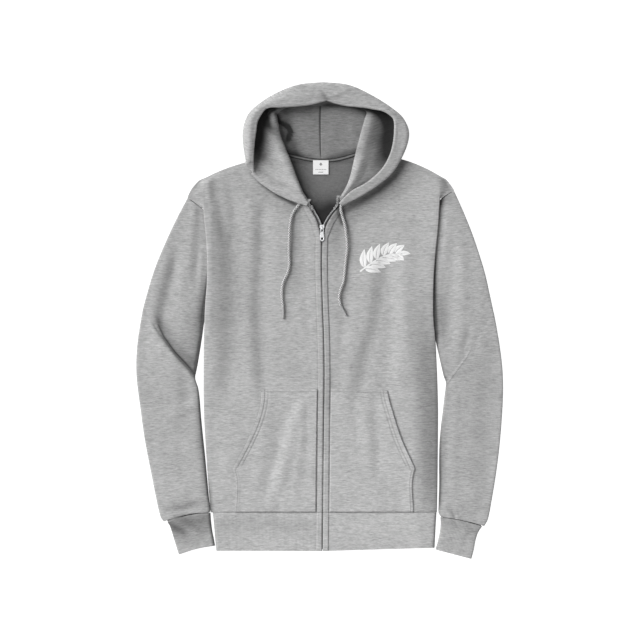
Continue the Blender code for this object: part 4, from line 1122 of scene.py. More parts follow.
    def side_fold(self, rim: Array, fold_y: Array) -> Array:
        """Columns past the panel: round the side and back under it, or out to the armhole seam above its end.

        Round the side the wall's middle is a half ellipse, then a flat return. Above the seam's end the
        columns run straight out to the shoulder's table instead, and the two meet over a few millimetres.

        Args:
            rim: the panel's last column.
            fold_y: the fold's y for each row.

        Returns:
            Points [row, column, xyz].
        """
        body, turn_count, flat_count = self.body, self.turn_columns, self.flat_columns
        base = ARMHOLE_BASE * ease((fold_y - body.drop_end) / (body.underarm - body.drop_end))
        grown = ease((body.seam_end - fold_y) / 30.0)[:, None]
        low = base[:, None] + CLOTH / 2
        half = np.maximum((rim[:, 2:] - low) / 2, 1.5)
        span = np.minimum(SIDE_ROLL - CLOTH / 2, 0.6 * half)
        under = 1 - ease((fold_y - body.seam_end) / 20.0)[:, None]
        rim[:, :1] += self.sign * (SIDE_ROLL - CLOTH / 2 - span) * under
        turns = np.radians(90 + 90 * grown) * np.linspace(0, 1, turn_count + 1)[1:]
        around = np.stack([rim[:, :1] + self.sign * span * np.sin(turns), rim[:, 1:2] + 0 * turns,
                           rim[:, 2:] - half * (1 - np.cos(turns))], axis=2)
        back = np.repeat(around[:, -1:], flat_count, axis=1)
        flat = (0.15 + 0.85 * grown) * SIDE_RETURN * np.linspace(0, 1, flat_count + 1)[1:]
        back[..., 0] -= self.sign * flat * grown
        back[..., 2] = np.maximum(back[..., 2] - (1 - grown) * flat, low)
        hook = np.concatenate([around, back], axis=1)
        outer = along(body.shoulder, fold_y)
        shares = np.linspace(0, 1, turn_count + flat_count + 1)[1:]
        clear_sleeve = ARMHOLE_BASE + CLOTH / 2 - SHOULDER_LOW - 1.0
        rest = SHOULDER_LOW + 1.0 + clear_sleeve * (1.0 - ease((fold_y - body.seam_end) / 18.0))
        ends = np.column_stack([outer, rest])
        out = rim[:, None] + (ends - rim)[:, None] * shares[None, :, None]
        out[..., 2] = rim[:, 2:] + (ends - rim)[:, 2:] * ease(shares * 1.25)
        swap = ease((fold_y - body.seam_end + 1.5) / 3.0)[:, None, None]
        return hook + (out - hook) * swap

    def grid(self) -> tuple[Array, Array, Array]:
        """The wall's middle surface.

        Returns:
            Points, weave coordinates and painted shade values.
        """
        plan, fold_y = self.plan()
        x, y = plan[..., 0], plan[..., 1]
        height = self.top(x, y) - CLOTH / 2
        to_shoulder = np.linalg.norm(plan - plan[-1][None], axis=2)
        height -= (height - SHOULDER_LOW) * (1.0 - ease(to_shoulder / 14.0 + 0.12))
        panel = np.dstack([x, y, height])
        grid = np.concatenate([panel, self.side_fold(panel[:, -1], fold_y)], axis=1)
        steps = np.linalg.norm(np.diff(grid[:, plan.shape[1] - 1:], axis=1), axis=2)
        past = x[:, -1:] + self.sign * np.cumsum(steps, axis=1)
        uv = np.dstack([np.concatenate([x, past], axis=1), grid[..., 1]])
        return grid, uv, self.painted_shade(grid, plan.shape[1])

    def painted_shade(self, grid: Array, columns: int) -> Array:
        """Painted shade: in the zip's edge, at the strip's stitches, in the folds, under what lies over the
        panel, and at its side.

        Args:
            grid: the panel's points with those of its side fold.
            columns: columns before the side fold.

        Returns:
            A value from 0 to 1 for each point.
        """
        x, y = grid[..., 0], grid[..., 1]
        from_zip = np.abs(x - self.zip_edge(y)) / self.stretch(y)
        painted_shade = along(ZIP_SHADES, y) * bell(from_zip / 1.5) * (1.0 - ease((y - ZIP_TOP) / 16.0))
        if self.sign < 0:
            painted_shade += 0.34 * bell((from_zip - STITCH_IN) / 1.2)
        else:
            painted_shade += 0.28 * ease((172.0 - y) / 20.0) * bell((from_zip - 11.0) / 2.0)
            painted_shade += 0.14 * bell((from_zip - 5.0) / 4.0)
        painted_shade += shade(x, y, FRONT_FOLDS + FRONT_CREASES + UNDER_HOOD)
        painted_shade[:, columns:] = shade(x[:, columns:], y[:, columns:], SHOULDER_SHADES)
        from_side = np.abs(along(self.body.fold, y) - x)
        edge_shade, near_shade, width = np.moveaxis(along(self.body.side_shade, y), -1, 0)
        painted_shade += edge_shade * bell(from_side / width) + near_shade * bell(from_side / 22.0)
        return np.clip(painted_shade, 0.0, 1.0)

    def build(self, wardrobe: Wardrobe) -> bpy.types.Object:
        """The panel's cloth: face outside and brushed pile inside."""
        grid, uv, painted_shade = self.grid()
        piece = surface(f"front_panel_{self.body.half.word}", grid, uv, painted_shade, flip=self.sign < 0)
        add_wall(piece, CLOTH, inner=True)
        dress(piece, Slot.FLEECE, wardrobe.fleece, wardrobe.inside, nodes=(f"front_{self.body.half.word}",))
        return piece

    def seam_lines(self) -> list[Array]:
        """Topstitched lines on the cloth: the zip's strip, and the body's side of the armhole seam."""
        y = np.arange(HEM_SEAM_Y + 2.0, 214.0 if self.sign < 0 else 160.0, 1.0)
        x = self.zip_edge(y) + self.sign * STITCH_IN * self.stretch(y)
        return [np.column_stack([x, y, self.top(x, y) + 0.02])]


# ---------------------------------------------------------------- pockets
POCKET_EDGES = {
    Half.RIGHT: ((-161, -364), (-162.4, -290), (-165.6, -281), (-141, -235), (-120.6, -188), (-112, -150),
                 (-111.6, -131.6)),
    Half.LEFT: ((177.6, -364), (178, -290), (180.6, -281), (153.4, -220), (138.6, -173.5), (130.6, -145),
                (128.6, -133.6)),
}
POCKET_CREASES = (
    Fold(((-130, -262), (-98, -238)), 10, height=0.7), Fold(((-150, -292), (-120, -300)), 9, height=0.6),
    Fold(((150, -268), (120, -250)), 11, height=0.7), Fold(((166, -296), (134, -302)), 9, height=0.5),
)
# Distances of the columns and rows of stitches from a pocket's outer edge, close together at the stitches.
POCKET_COLUMNS = np.array([0, .5, 1.1, 1.8, 2.5, 3.1, 3.7, 4.3, 5.0, 5.8, 6.6, 7.2, 7.8, 8.4, 9.2, 10.4,
                           11.4, 12.2, 12.9, 13.6, 14.3, 15.1])


@dataclass(frozen=True)
class PatchPocket:
    """A patch pocket with a slanted hand opening, sewn into the zip's strip and the waistband."""

    front: FrontPanel
    foot: float = -364.0
    top_y: float = -130.6
    width: float = 130.0

    @property
    def half(self) -> Half:
        """The half that the pocket is on."""
        return self.front.body.half

    @property
    def sign(self) -> int:
        """-1 on the wearer's right and 1 on the left."""
        return self.front.sign

    def edge(self, rows: Array) -> Array:
        """The outer edge's points in plan, at shares of its length."""
        return path(POCKET_EDGES[self.half], rows, sharp=(2,))

    def place(self, rows: Array, shares: Array) -> Array:
        """Points in plan [row, column, xy]: rows run up the pocket, shares 0 to 1 out from the zip's strip.
        """
        line = self.edge(rows)
        inner_y = self.foot + rows * (self.top_y - self.foot)
        inner_x = self.front.zip_edge(inner_y) + self.sign * (WELT_WIDTH + 0.8)
        inner = np.stack([inner_x, inner_y], axis=1)
        return inner[:, None] + (line - inner)[:, None] * shares[None, :, None]

    def top(self, x: Array, y: Array, to_side: Array, to_top: Array, rows: Array) -> Array:
        """Height of the pocket's upper face.

        The front's own height plus the cloth, plus a soft turned edge 6 mm wide and a stitched furrow inside
        it, and a lift of the hand opening's edge.

        Args:
            x: places in plan.
            y: places in plan.
            to_side: distance to the outer edge.
            to_top: distance to the upper edge.
            rows: share up the pocket.

        Returns:
            Height at each place.
        """
        height = self.front.top(x, y) + 0.45 + POCKET_CLOTH + relief(x, y, POCKET_CREASES)
        opening = ease((rows - 0.36) / 0.06) * ease((1.0 - rows) / 0.08)
        near = np.minimum(to_side, to_top)
        height += 0.35 * ease(near / 1.6) * ease((8.5 - near) / 3.0) - 0.3 * (1 - opening) * bell(near / 2.5)
        height += 0.9 * opening * bell(to_side / 10.0)
        height -= (0.5 * bell((to_side - self.first_row(rows)) / 0.9)
                   + 0.45 * opening * bell((to_side - HAND_ROW) / 0.9))
        height -= 0.5 * bell((to_top - 5.0) / 0.9)
        return height

    @staticmethod
    def first_row(rows: Array) -> Array:
        """Distance of the outer stitches from the edge: 4 mm on the side, 7.6 mm along the hand opening."""
        return 4.0 + 3.6 * ease((rows - 0.32) / 0.03)

    def grid(self) -> tuple[Array, Array, Array]:
        """The wall's middle surface.

        Returns:
            Points, weave coordinates and painted shade values.
        """
        rows = np.concatenate([np.linspace(0, 0.955, 110), np.linspace(0.96, 1.0, 18)])
        shares = np.concatenate([np.linspace(0, 1 - 16.6 / self.width, 56),
                                 (1 - POCKET_COLUMNS / self.width)[::-1]])
        plan = self.place(rows, shares)
        x, y = plan[..., 0], plan[..., 1]
        to_side = np.linalg.norm(plan - plan[:, -1:], axis=2) * self.slant(rows)[:, None]
        to_top = np.abs(plan[-1:, :, 1] - y) + 0.4
        tops = self.top(x, y, to_side, to_top, rows[:, None])
        grid = np.dstack([x, y, tops - POCKET_CLOTH / 2])
        uv = np.dstack([x + 61.0 * self.sign, y + 23.0])
        slanted = ease((rows - 0.34) / 0.04)[:, None]
        first = (0.20 + 0.12 * slanted) * bell((to_side - self.first_row(rows)[:, None]) / 1.1)
        painted_shade = first + 0.24 * slanted * bell((to_side - HAND_ROW) / 1.1) + 0.2 * bell((to_top - 5.0) / 1.2)
        return grid, uv, painted_shade + (0.2 + 0.2 * slanted) * bell(to_side / 0.8)

    def slant(self, rows: Array) -> Array:
        """Share of a level distance that is square to the outer edge, for each row."""
        run = unit(self.edge(np.clip(rows + 0.004, 0, 1)) - self.edge(np.clip(rows - 0.004, 0, 1)))
        return np.abs(run[:, 1]).clip(0.3)

    def build(self, wardrobe: Wardrobe) -> bpy.types.Object:
        """The pocket's cloth."""
        grid, uv, painted_shade = self.grid()
        piece = surface(f"patch_pocket_{self.half.word}", grid, uv, painted_shade, flip=self.sign < 0)
        add_wall(piece, POCKET_CLOTH, inner=True)
        dress(piece, Slot.FLEECE, wardrobe.fleece, wardrobe.inside, nodes=(f"pocket_{self.half.word}",))
        f"front_panel_{self.half.word}"
        return piece

    def seam_lines(self) -> list[Array]:
        """Topstitched lines: two inside the hand opening's edge, one on the side and one along the top."""
        lines = []
        for inset, low, high in ((4.0, 0.02, 0.335), (7.6, 0.35, 0.985), (HAND_ROW, 0.36, 0.975)):
            rows = np.linspace(low, high, 260)
            x, y = self.edge(rows).T
            x = x - self.sign * inset / self.slant(rows)
            to_side, to_top = np.full_like(x, inset), np.full_like(x, 40.0)
            lines.append(np.column_stack([x, y, self.top(x, y, to_side, to_top, rows) + 0.02]))
        x, y = (self.place(np.array([1.0]), np.linspace(0.04, 0.95, 120))[0] - [0.0, 5.0]).T
        to_side, to_top, rows = (np.full_like(x, value) for value in (30.0, 5.0, 0.97))
        return [*lines, np.column_stack([x, y, self.top(x, y, to_side, to_top, rows) + 0.02])]


# ---------------------------------------------------------------- back
# The back's upper edge in plan, from one armhole over the shoulders and the neck to the other.
BACK_TOP = ((-249.4, 238), (-242, 249), (-230, 261.5), (-219, 269.4), (-190, 281), (-140.6, 298),
            (-96, 313.2), (-62, 312.6), (-38, 306.8), (2, 301.6), (47, 306.8), (67, 312.6), (102, 314.2),
            (155, 303.8), (205, 284.4), (222, 276), (236, 266.5), (247, 256), (252, 250))


@dataclass(frozen=True)
class BackPanel:
    """The back panel, flat on the floor, of which the neck's inside shows."""

    right: BodyHalf
    left: BodyHalf
    right_top: float = 232.0
    left_top: float = 244.0

    @staticmethod
    def side(body: BodyHalf, y: Array) -> Array:
        """x of the side edge: inside the front's return below, and inside the armhole seam above."""
        below = along(body.fold, y) - body.sign * (SIDE_ROLL + SIDE_RETURN + GAP)
        armhole = np.array(body.armhole)
        above = along([(py, px) for px, py in armhole], y) - body.sign * 3.0
        inner = np.minimum(np.abs(below), np.abs(above)) * body.sign
        return np.where(y < armhole[-1, 1] - 6, below, np.where(y > 120, above, inner))

    def side_line(self, body: BodyHalf, top_y: float, rows: Array) -> Array:
        """Points of a side edge in plan, at shares of its height."""
        y = HEM_SEAM_Y + rows * (top_y - HEM_SEAM_Y)
        return np.stack([self.side(body, y), y - 0.5 * (rows > 0.9)], axis=1)

    def build(self, wardrobe: Wardrobe) -> bpy.types.Object:
        """The back's cloth, pile side up, softly waved at the neck, with shade painted deep in the opening and
        under the neck seam.
        """
        rows = np.concatenate([np.linspace(0, 0.82, 42), np.linspace(0.83, 1.0, 60)])
        start = self.side_line(self.right, self.right_top, rows)
        end = self.side_line(self.left, self.left_top, rows)
        across = np.linspace(0, 1, 103)
        plan = start[:, None] + (end - start)[:, None] * across[None, :, None]
        lift = ease((rows - 0.55) / 0.45) ** 1.2
        top = path((start[-1], *BACK_TOP, end[-1]), across, sharp=(7, 13))
        plan = plan + (top - plan[-1])[None] * lift[:, None, None]
        x, y = plan[..., 0], plan[..., 1]
        inside_neck = bell((x - 6.0) / 55.0) * ease((y - 190.0) / 40.0)
        waves = 0.45 * (1.0 + np.sin(x / 13.0 + y / 40.0)) * inside_neck
        grid = np.dstack([x, y, CLOTH / 2 + waves])
        open_half = 8.0 + 0.62 * np.maximum(y - 178.0, 0.0)
        beside = np.abs(x - (6.0 + 0.03 * (y - 178.0))) / open_half
        painted_shade = (0.36 * ease((258.0 - y) / 46.0) + 0.64 * ease((232.0 - y) / 34.0)
                  + 0.26 * ease(beside - 0.35))
        painted_shade += 0.30 * bell((y - 301.0) / 4.0) + 0.30 * bell((x - 22.0) / 14.0) * bell((y - 222.0) / 18.0)
        painted_shade += 0.10 * ease((250.0 - y) / 30.0)
        piece = surface("back_panel", grid, np.dstack([x + 17.0, y]), np.clip(painted_shade, 0.0, 1.0))
        add_wall(piece, CLOTH, inner=True)
        dress(piece, Slot.INSIDE, wardrobe.inside, wardrobe.fleece, nodes=("back",))
        return piece


# ---------------------------------------------------------------- sleeves and cuffs
class Section(NamedTuple):
    """A ring of a flattened tube: outer and inner ends, how far its middle bows towards the hem, the height
    of its upper face, and how much of the elbow's fold it carries."""

    outer_x: float
    outer_y: float
    inner_x: float
    inner_y: float
    bow: float
    top: float
    fold: float


RIGHT_SLEEVE = (
    Section(-251.6, 232.6, -207, 30, 0, 6.8, 0), Section(-263, 211, -212, 25, 0, 7.6, 0),
    Section(-279, 179, -217, 14, 0, 8.2, 0), Section(-295, 143.5, -220.8, -8, 0, 8.6, 0),
    Section(-309, 110, -224.2, -33, 1, 8.8, 0), Section(-320.5, 77, -228, -58, 2, 8.6, 0),
    Section(-329.5, 46, -232.2, -83, 4, 8.2, 0), Section(-334, 30, -235.4, -99, 5, 8.0, 0),
    Section(-335.5, 24, -236.8, -105, 5, 8.0, 0.25), Section(-337, 17, -237, -111.5, 5, 8.6, 1.0),
    Section(-340.6, -4, -235, -119, 5, 9.0, 0.85), Section(-345.6, -36, -231, -131, 4, 9.0, 0.5),
    Section(-348.6, -74, -228, -152, 2, 8.8, 0.2), Section(-347.6, -112, -225.8, -180, 0, 8.6, 0.05),
    Section(-341, -165, -222.4, -215, 0, 8.6, 0), Section(-332.6, -226, -218.4, -252, 0, 8.6, 0),
    Section(-322, -282, -214.4, -294, 0, 8.6, 0), Section(-311, -338, -210.6, -335, 0, 8.8, 0),
    Section(-303.4, -371, -208, -358, 0, 8.6, 0), Section(-297, -382.6, -209.4, -365.4, -5, 7.4, 0),
)
LEFT_SLEEVE = (
    Section(255.8, 245.6, 208, -12, 0, 6.8, 0), Section(266, 223, 212, -18, 0, 7.6, 0),
    Section(279, 192, 217, -26, 0, 8.2, 0), Section(292, 158, 221, -40, 0, 8.6, 0),
    Section(304, 122, 225, -57, 1, 8.8, 0), Section(314, 89, 228.5, -73, 2, 8.8, 0),
    Section(323, 50, 232.4, -90, 4, 8.4, 0), Section(328.6, 25, 236.6, -107, 7, 8.2, 0),
    Section(330.2, 18, 239.4, -114, 7.5, 8.2, 0), Section(331.8, 11, 240.8, -121, 7.5, 8.6, 0),
    Section(336.6, -14, 239.6, -131, 6, 8.8, 0), Section(342.4, -50, 237, -149, 3, 8.8, 0),
    Section(347, -89, 234, -175, 1, 8.8, 0), Section(348.5, -130, 230.6, -203, 0, 8.6, 0),
    Section(346.8, -176, 228, -233, 0, 8.6, 0), Section(342.4, -232, 227, -271, 0, 8.6, 0),
    Section(336, -286, 227.2, -311, 0, 8.6, 0), Section(327.6, -338, 226.2, -347, 0, 8.8, 0),
    Section(320.4, -376, 226, -365, 0, 8.6, 0), Section(313, -391, 231, -373.4, -2, 7.4, 0),
)
RIGHT_CUFF = (
    Section(-289.6, -384.4, -207.6, -366.6, -5, 7.4, 0), Section(-284.6, -392, -206.6, -380, -2, 8.4, 0),
    Section(-279, -409, -204.2, -400, 0, 8.6, 0), Section(-273, -429, -201.2, -415, 0, 8.4, 0),
    Section(-268, -445.4, -199, -428.4, -2.5, 8.0, 0),
)
LEFT_CUFF = (
    Section(309, -391.6, 229.6, -374.4, -2, 7.4, 0), Section(301.4, -403, 230, -386, -1, 8.4, 0),
    Section(296.4, -418, 228.4, -402, 0, 8.6, 0), Section(293, -436, 225, -419, 0, 8.4, 0),
    Section(288.4, -453.4, 220.4, -435.6, 0, 8.0, 0),
)
SLEEVE_FOLDS = (
    Fold(((-284, 100), (-296, 58), (-303, 24), (-305, 12)), 14, height=-0.6, drop=3.4, shade=0.18),
    Fold(((-268, 120), (-271, 40), (-266, 0)), 13, drop=-1.8),
    Fold(((-232, 205), (-236, 150), (-241, 100)), 11, drop=2.6, shade=0.03),
    Fold(((-264, -92), (-262, -140)), 20, drop=3.0, shade=0.04),
    Fold(((262, 110), (258, 0), (256, -30)), 16, drop=-2.4),
    Fold(((318, 60), (322, -60)), 20, drop=1.4),
    Fold(((308, -130), (306, -290)), 20, drop=1.2, shade=0.04),
)
SLEEVE_CREASES = (
    Fold(((-306, -11), (-296.5, -31), (-276, -60), (-255, -82), (-240, -99)), 1.9, shade=0.50),
    Fold(((-309, -14), (-300, -33), (-279.4, -63), (-258, -86), (-242, -102)), 1.6, height=0.55),
    Fold(((-307, 0), (-295.5, -31), (-275, -60), (-255, -82), (-242, -96)), 4.2, shade=0.30),
    Fold(((-299, -10), (-287, -34), (-266, -57), (-248, -76)), 10, shade=0.40),
    Fold(((-262, -30), (-250, -60)), 17, shade=0.08),
    Fold(((-240, -150), (-262, -160), (-276, -164)), 9, drop=-1.3),
    Fold(((-236, -170), (-262, -182)), 8, drop=1.6, shade=0.04),
    Fold(((-274, -367), (-263, -363.5), (-253, -365)), 4.2, height=1.5),
    Fold(((-268, -357), (-246, -352)), 8, height=-1.3, shade=0.40),
    Fold(((-298, -280), (-240, -290)), 14, height=-0.6), Fold(((-310, -230), (-300, -320)), 12, drop=-0.6),
    Fold(((-272, -210), (-266, -290)), 12, drop=0.5), Fold(((-318, 60), (-326, 10)), 9, drop=-1.0),
    Fold(((-226, 120), (-230, 60)), 7, drop=-0.9), Fold(((-322, -20), (-330, -90)), 12, drop=-0.8),
    Fold(((-278, -150), (-262, -330)), 46, shade=0.08), Fold(((290, -130), (275, -340)), 60, shade=0.17),
    Fold(((242, -120), (262, -92), (279, -70), (284, -60)), 1.8, height=0.7),
    Fold(((276, -34), (270, -58)), 8, drop=0.8, shade=0.06), Fold(((286, -54), (291, -28)), 7, height=0.9),
    Fold(((284, -88), (300, -84)), 11, shade=0.06), Fold(((260, -104), (286, -96)), 6, shade=0.10),
    Fold(((240, 215), (236, 130)), 8, drop=-0.9), Fold(((272, 180), (276, 110)), 13, drop=0.9),
    Fold(((252, -160), (246, -300)), 12, drop=-1.0), Fold(((290, -180), (292, -300)), 15, drop=0.5),
    Fold(((251, -364), (256, -374)), 2.6, height=-0.8, shade=0.30),
    Fold(((260, -366), (262, -376)), 3, height=0.7), Fold(((300, -366), (294, -382)), 6, height=-0.5),
    Fold(((240, -358), (246, -370)), 3, height=0.8, shade=0.06),
)
CUFF_CREASES = (
    Fold(((-262, -380), (-206, -374)), 17, shade=0.40), Fold(((-280, -400), (-203, -392)), 28, shade=0.34),
    Fold(((-275, -412), (-250, -420)), 9, shade=0.12),
    Fold(((-284, -390), (-262, -401)), 7, height=-1.6, drop=1.4, shade=0.36),
    Fold(((-254, -380), (-226, -400)), 7, height=-1.4, drop=1.2, shade=0.12),
    Fold(((-206, -372), (-199, -430)), 4.6, shade=1.0), Fold(((-262, -424), (-236, -410)), 8, height=0.9),
    Fold(((308, -392), (230, -377)), 20, shade=0.30), Fold(((300, -424), (226, -412)), 32, shade=0.16),
    Fold(((229, -378), (221, -434)), 3, shade=0.30), Fold(((300, -400), (286, -448)), 10, shade=0.06),
    Fold(((280, -400), (270, -430)), 9, drop=0.6), Fold(((250, -400), (244, -430)), 10, shade=0.06),
)


# How far each section of a sleeve follows the armhole seam.
ARMHOLE_FADE = ((0, 1.0), (1, 0.82), (2, 0.6), (3, 0.36), (4, 0.16), (5, 0.04), (6, 0.0), (19, 0.0))


@dataclass(frozen=True)
class FlatTube:
    """A flattened tube of cloth, such as a sleeve or a cuff, lying on the floor.

    `name` is the piece's without its half, `sections` are rings from the upper end to the lower, and `rows`
    counts the rings of the finished mesh. `axes` are its directions above and below `bend`, about which the
    weave turns. `on_armhole` fits the upper end to the armhole seam. `flat` is its cut, in metres; not used.
    """

    body: BodyHalf
    name: str
    sections: tuple[Section, ...]
    folds: tuple[Fold, ...]
    axes: tuple[tuple[float, float], ...]
    bend: tuple[float, float]
    wall: float
    rows: int
    flat: tuple[float, float]
    on_armhole: bool = False
    roll: float = 5.0

    def weave(self, x: Array, y: Array) -> Array:
        """Weave coordinates: plan turned to the tube's axis, passing smoothly from the upper one to the
        lower.
        """
        found = []
        for ax, ay in self.axes:
            dx, dy = x - self.bend[0], y - self.bend[1]
            found.append(np.stack([-dx * ay + dy * ax, -(dx * ax + dy * ay)], axis=-1))
        share = ease(0.5 - (y - self.bend[1]) / 120.0)[..., None]
        return found[0] + (found[-1] - found[0]) * share

    def upper_face(self) -> tuple[Array, Array, Section]:
        """Plan and height of the upper face's middle surface.

        Returns:
            Points [row, column, xyz], shares across, and the sections' values for each row.
        """
        table = np.column_stack([np.arange(len(self.sections)), np.array(self.sections, float)])
        at = np.linspace(0, len(self.sections) - 1, self.rows)
        s = Section(*along(table.tolist(), at).T)
        outer, inner = np.stack([s.outer_x, s.outer_y], 1), np.stack([s.inner_x, s.inner_y], 1)
        run = inner - outer
        width = np.linalg.norm(run, axis=1)
        even = np.linspace(0, 1, 76)
        shares = 0.55 * even + 0.45 * (0.5 - 0.5 * np.cos(np.pi * even))
        across = (self.roll + (width[:, None] - 2 * self.roll) * shares[None]) / width[:, None]
        plan = outer[:, None] + run[:, None] * across[..., None]
        plan[..., 1] -= s.bow[:, None] * np.sin(np.pi * across)
        if self.on_armhole:
            seam = path(self.body.armhole, across[0])
            plan += (seam - plan[0])[None] * along(ARMHOLE_FADE, at)[:, None, None]
        x, y = plan[..., 0], plan[..., 1]
        top = s.top[:, None] * (0.93 + 0.07 * np.sin(np.pi * across)) + relief(x, y, self.folds)
        top += 6.5 * s.fold[:, None] * ease((across - 0.12) / 0.3) * ease((1.12 - across) / 0.25)
        if self.on_armhole:
            clear = ease((np.abs(x) - np.abs(along(self.body.fold, y)) - 1.0) / 14.0)
            beside = ease((y - self.body.underarm + 32.0) / 16.0)
            hidden = np.minimum(top, SLEEVE_LEVEL)
            top = top + (hidden - top) * beside * (1 - clear)
        from_end = (len(self.sections) - 1 - at)[:, None] * 14.0
        puckers = gathers(across * width[:, None], from_end, 0.55, 10.0, 0.7 + self.body.sign)
        top += puckers * ease(across / 0.1) * ease((1 - across) / 0.1) * (1.0 if self.on_armhole else 0.0)
        return np.dstack([plan, np.maximum(top, self.wall + 2.2) - self.wall / 2]), across, s

    def grid(self) -> tuple[Array, Array, Array]:
        """The closed middle surface, from the underside's middle round the outer edge, over the top and back.

        Returns:
            Points, weave coordinates with one column more, and painted shade values.
        """
        upper, across, s = self.upper_face()
        low, roll = self.wall / 2, self.roll - self.wall / 2

        def turn(column: int, beside: int) -> Array:
            """Points round the tube's edge from top to floor: a half ellipse past the given column."""
            away = unit(upper[:, column, :2] - upper[:, beside, :2])
            half = (upper[:, column, 2] - low) / 2
            span = np.minimum(roll, 0.45 * half)
            upper[:, column, :2] += away * (roll - span)[:, None]
            middle = upper[:, column] - [0, 0, 1] * half[:, None]
            aside = np.column_stack([away * span[:, None], 0 * half])
            angles = np.linspace(0, np.pi, 10)[1:-1]
            return (middle[:, None] + aside[:, None] * np.sin(angles)[None, :, None]
                    + [0, 0, 1] * half[:, None, None] * np.cos(angles)[None, :, None])

        inner_turn, outer_turn = turn(-1, -2), turn(0, 1)[:, ::-1]
        floor = upper[:, ::3].copy()
        floor[..., 2] = low
        half = floor.shape[1] // 2
        ring = np.concatenate([floor[:, :half][:, ::-1], outer_turn, upper, inner_turn,
                               floor[:, half:][:, ::-1]],
                              axis=1)
        first = half + outer_turn.shape[1]
        top = slice(first, first + upper.shape[1])
        return ring, self.ring_weave(ring, upper, top), self.painted_shade(ring, across, s, top)

    def ring_weave(self, ring: Array, upper: Array, top: slice) -> Array:
        """Weave coordinates of the rings, running on from the upper face round the tube's edges and
        underneath.

        Args:
            ring: points [row, column, xyz].
            upper: those of the upper face.
            top: the upper face's columns.

        Returns:
            Coordinates [row, column, uv], with one column more than the rings.
        """
        steps = np.linalg.norm(np.diff(ring, axis=1, append=ring[:, :1]), axis=2)
        run = np.cumsum(np.concatenate([np.zeros((len(ring), 1)), steps], axis=1), axis=1) * -self.body.sign
        first, last = top.start, top.stop - 1
        top_uv = self.weave(upper[..., 0], upper[..., 1])
        along_tube = self.weave(ring[..., 0], ring[..., 1])[..., 1]
        uv = np.zeros((*run.shape, 2))
        uv[..., 1] = np.concatenate([along_tube, along_tube[:, :1]], axis=1)
        uv[..., 0] = top_uv[:, :1, 0] + run - run[:, first:first + 1]
        uv[:, last:, 0] = top_uv[:, -1:, 0] + run[:, last:] - run[:, last:last + 1]
        uv[:, top] = top_uv
        return uv

    def painted_shade(self, ring: Array, across: Array, s: Section, top: slice) -> Array:
        """Painted shade: below the elbow's fold, in the folds, and where a sleeve lies under the front's
        side.

        Args:
            ring: points [row, column, xyz].
            across: shares across the upper face.
            s: the sections' values for each row.
            top: the upper face's columns.

        Returns:
            A value from 0 to 1 for each point.
        """
        painted_shade = shade(ring[..., 0], ring[..., 1], self.folds)
        step_down = np.gradient(s.fold)[:, None] * 3.0
        painted_shade[:, top] += 0.4 * np.clip(step_down, 0, 1) * ease((across - 0.12) / 0.3)
        if self.on_armhole:
            inner_end = np.stack([s.inner_x, s.inner_y], axis=1)[:, None]
            from_inner = np.linalg.norm(ring[..., :2] - inner_end, axis=2)
            from_front = np.abs(ring[..., 0]) - np.abs(along(self.body.fold, ring[..., 1]))
            hidden = np.minimum(from_inner, np.maximum(from_front, 0.0))
            edge_shade, near_shade, width = np.moveaxis(along(self.body.arm_shade, ring[..., 1]), -1, 0)
            painted_shade += edge_shade * bell(hidden / width) + near_shade * bell(hidden / (3.4 * width))
        return np.clip(painted_shade, 0.0, 1.0)

    def build(self, slot: Slot, outer: bpy.types.Material, inner: bpy.types.Material,
              node: str) -> bpy.types.Object:
        """The tube's cloth.

        Args:
            slot: the record's slot.
            outer: finish of the outside.
            inner: finish of the inside.
            node: the CAD node that it replaces, without its half.

        Returns:
            The object.
        """
        grid, uv, painted_shade = self.grid()
        word = self.body.half.word
        piece = surface(f"{self.name}_{word}", grid, uv, painted_shade, closed=True, flip=self.body.sign < 0)
        add_wall(piece, self.wall, inner=True)
        dress(piece, slot, outer, inner, nodes=(f"{node}_{word}",))
        return piece


SLEEVES = tuple(
    FlatTube(body, "sleeve_tube", sections, SLEEVE_FOLDS + SLEEVE_CREASES, axes, bend, CLOTH, rows=210,
             flat=(0.24, 0.60), on_armhole=True)
    for body, sections, axes, bend in (
        (RIGHT_BODY, RIGHT_SLEEVE, ((-0.10, -0.995), (0.05, -0.999)), (-287.0, -47.0)),
        (LEFT_BODY, LEFT_SLEEVE, ((0.10, -0.995), (-0.03, -1.0)), (286.0, -55.0)),
    )
)
CUFFS = tuple(
    FlatTube(body, "rib_cuff", sections, CUFF_CREASES, (axis,), bend, RIB, rows=44, flat=(0.17, 0.064))
    for body, sections, axis, bend in (
        (RIGHT_BODY, RIGHT_CUFF, (0.16, -0.987), (-287.0, -400.0)),
        (LEFT_BODY, LEFT_CUFF, (-0.16, -0.987), (286.0, -400.0)),
    )
)


# ---------------------------------------------------------------- waistband
BAND_SHADES = (
    Fold(((-190, -390), (-70, -390)), 20, shade=0.20), Fold(((-20, -396), (40, -396)), 22, shade=0.05),
    Fold(((222, -366), (218, -432)), 6, shade=0.34), Fold(((203, -374), (200, -424)), 14, shade=0.14),
    Fold(((-203, -366), (-196, -437)), 2.5, shade=0.20),
)


class BandEnd(NamedTuple):
    """Where the waistband's folded side stands at its seam and at its hem."""

    seam_x: float
    hem_x: float
    hem_y: float


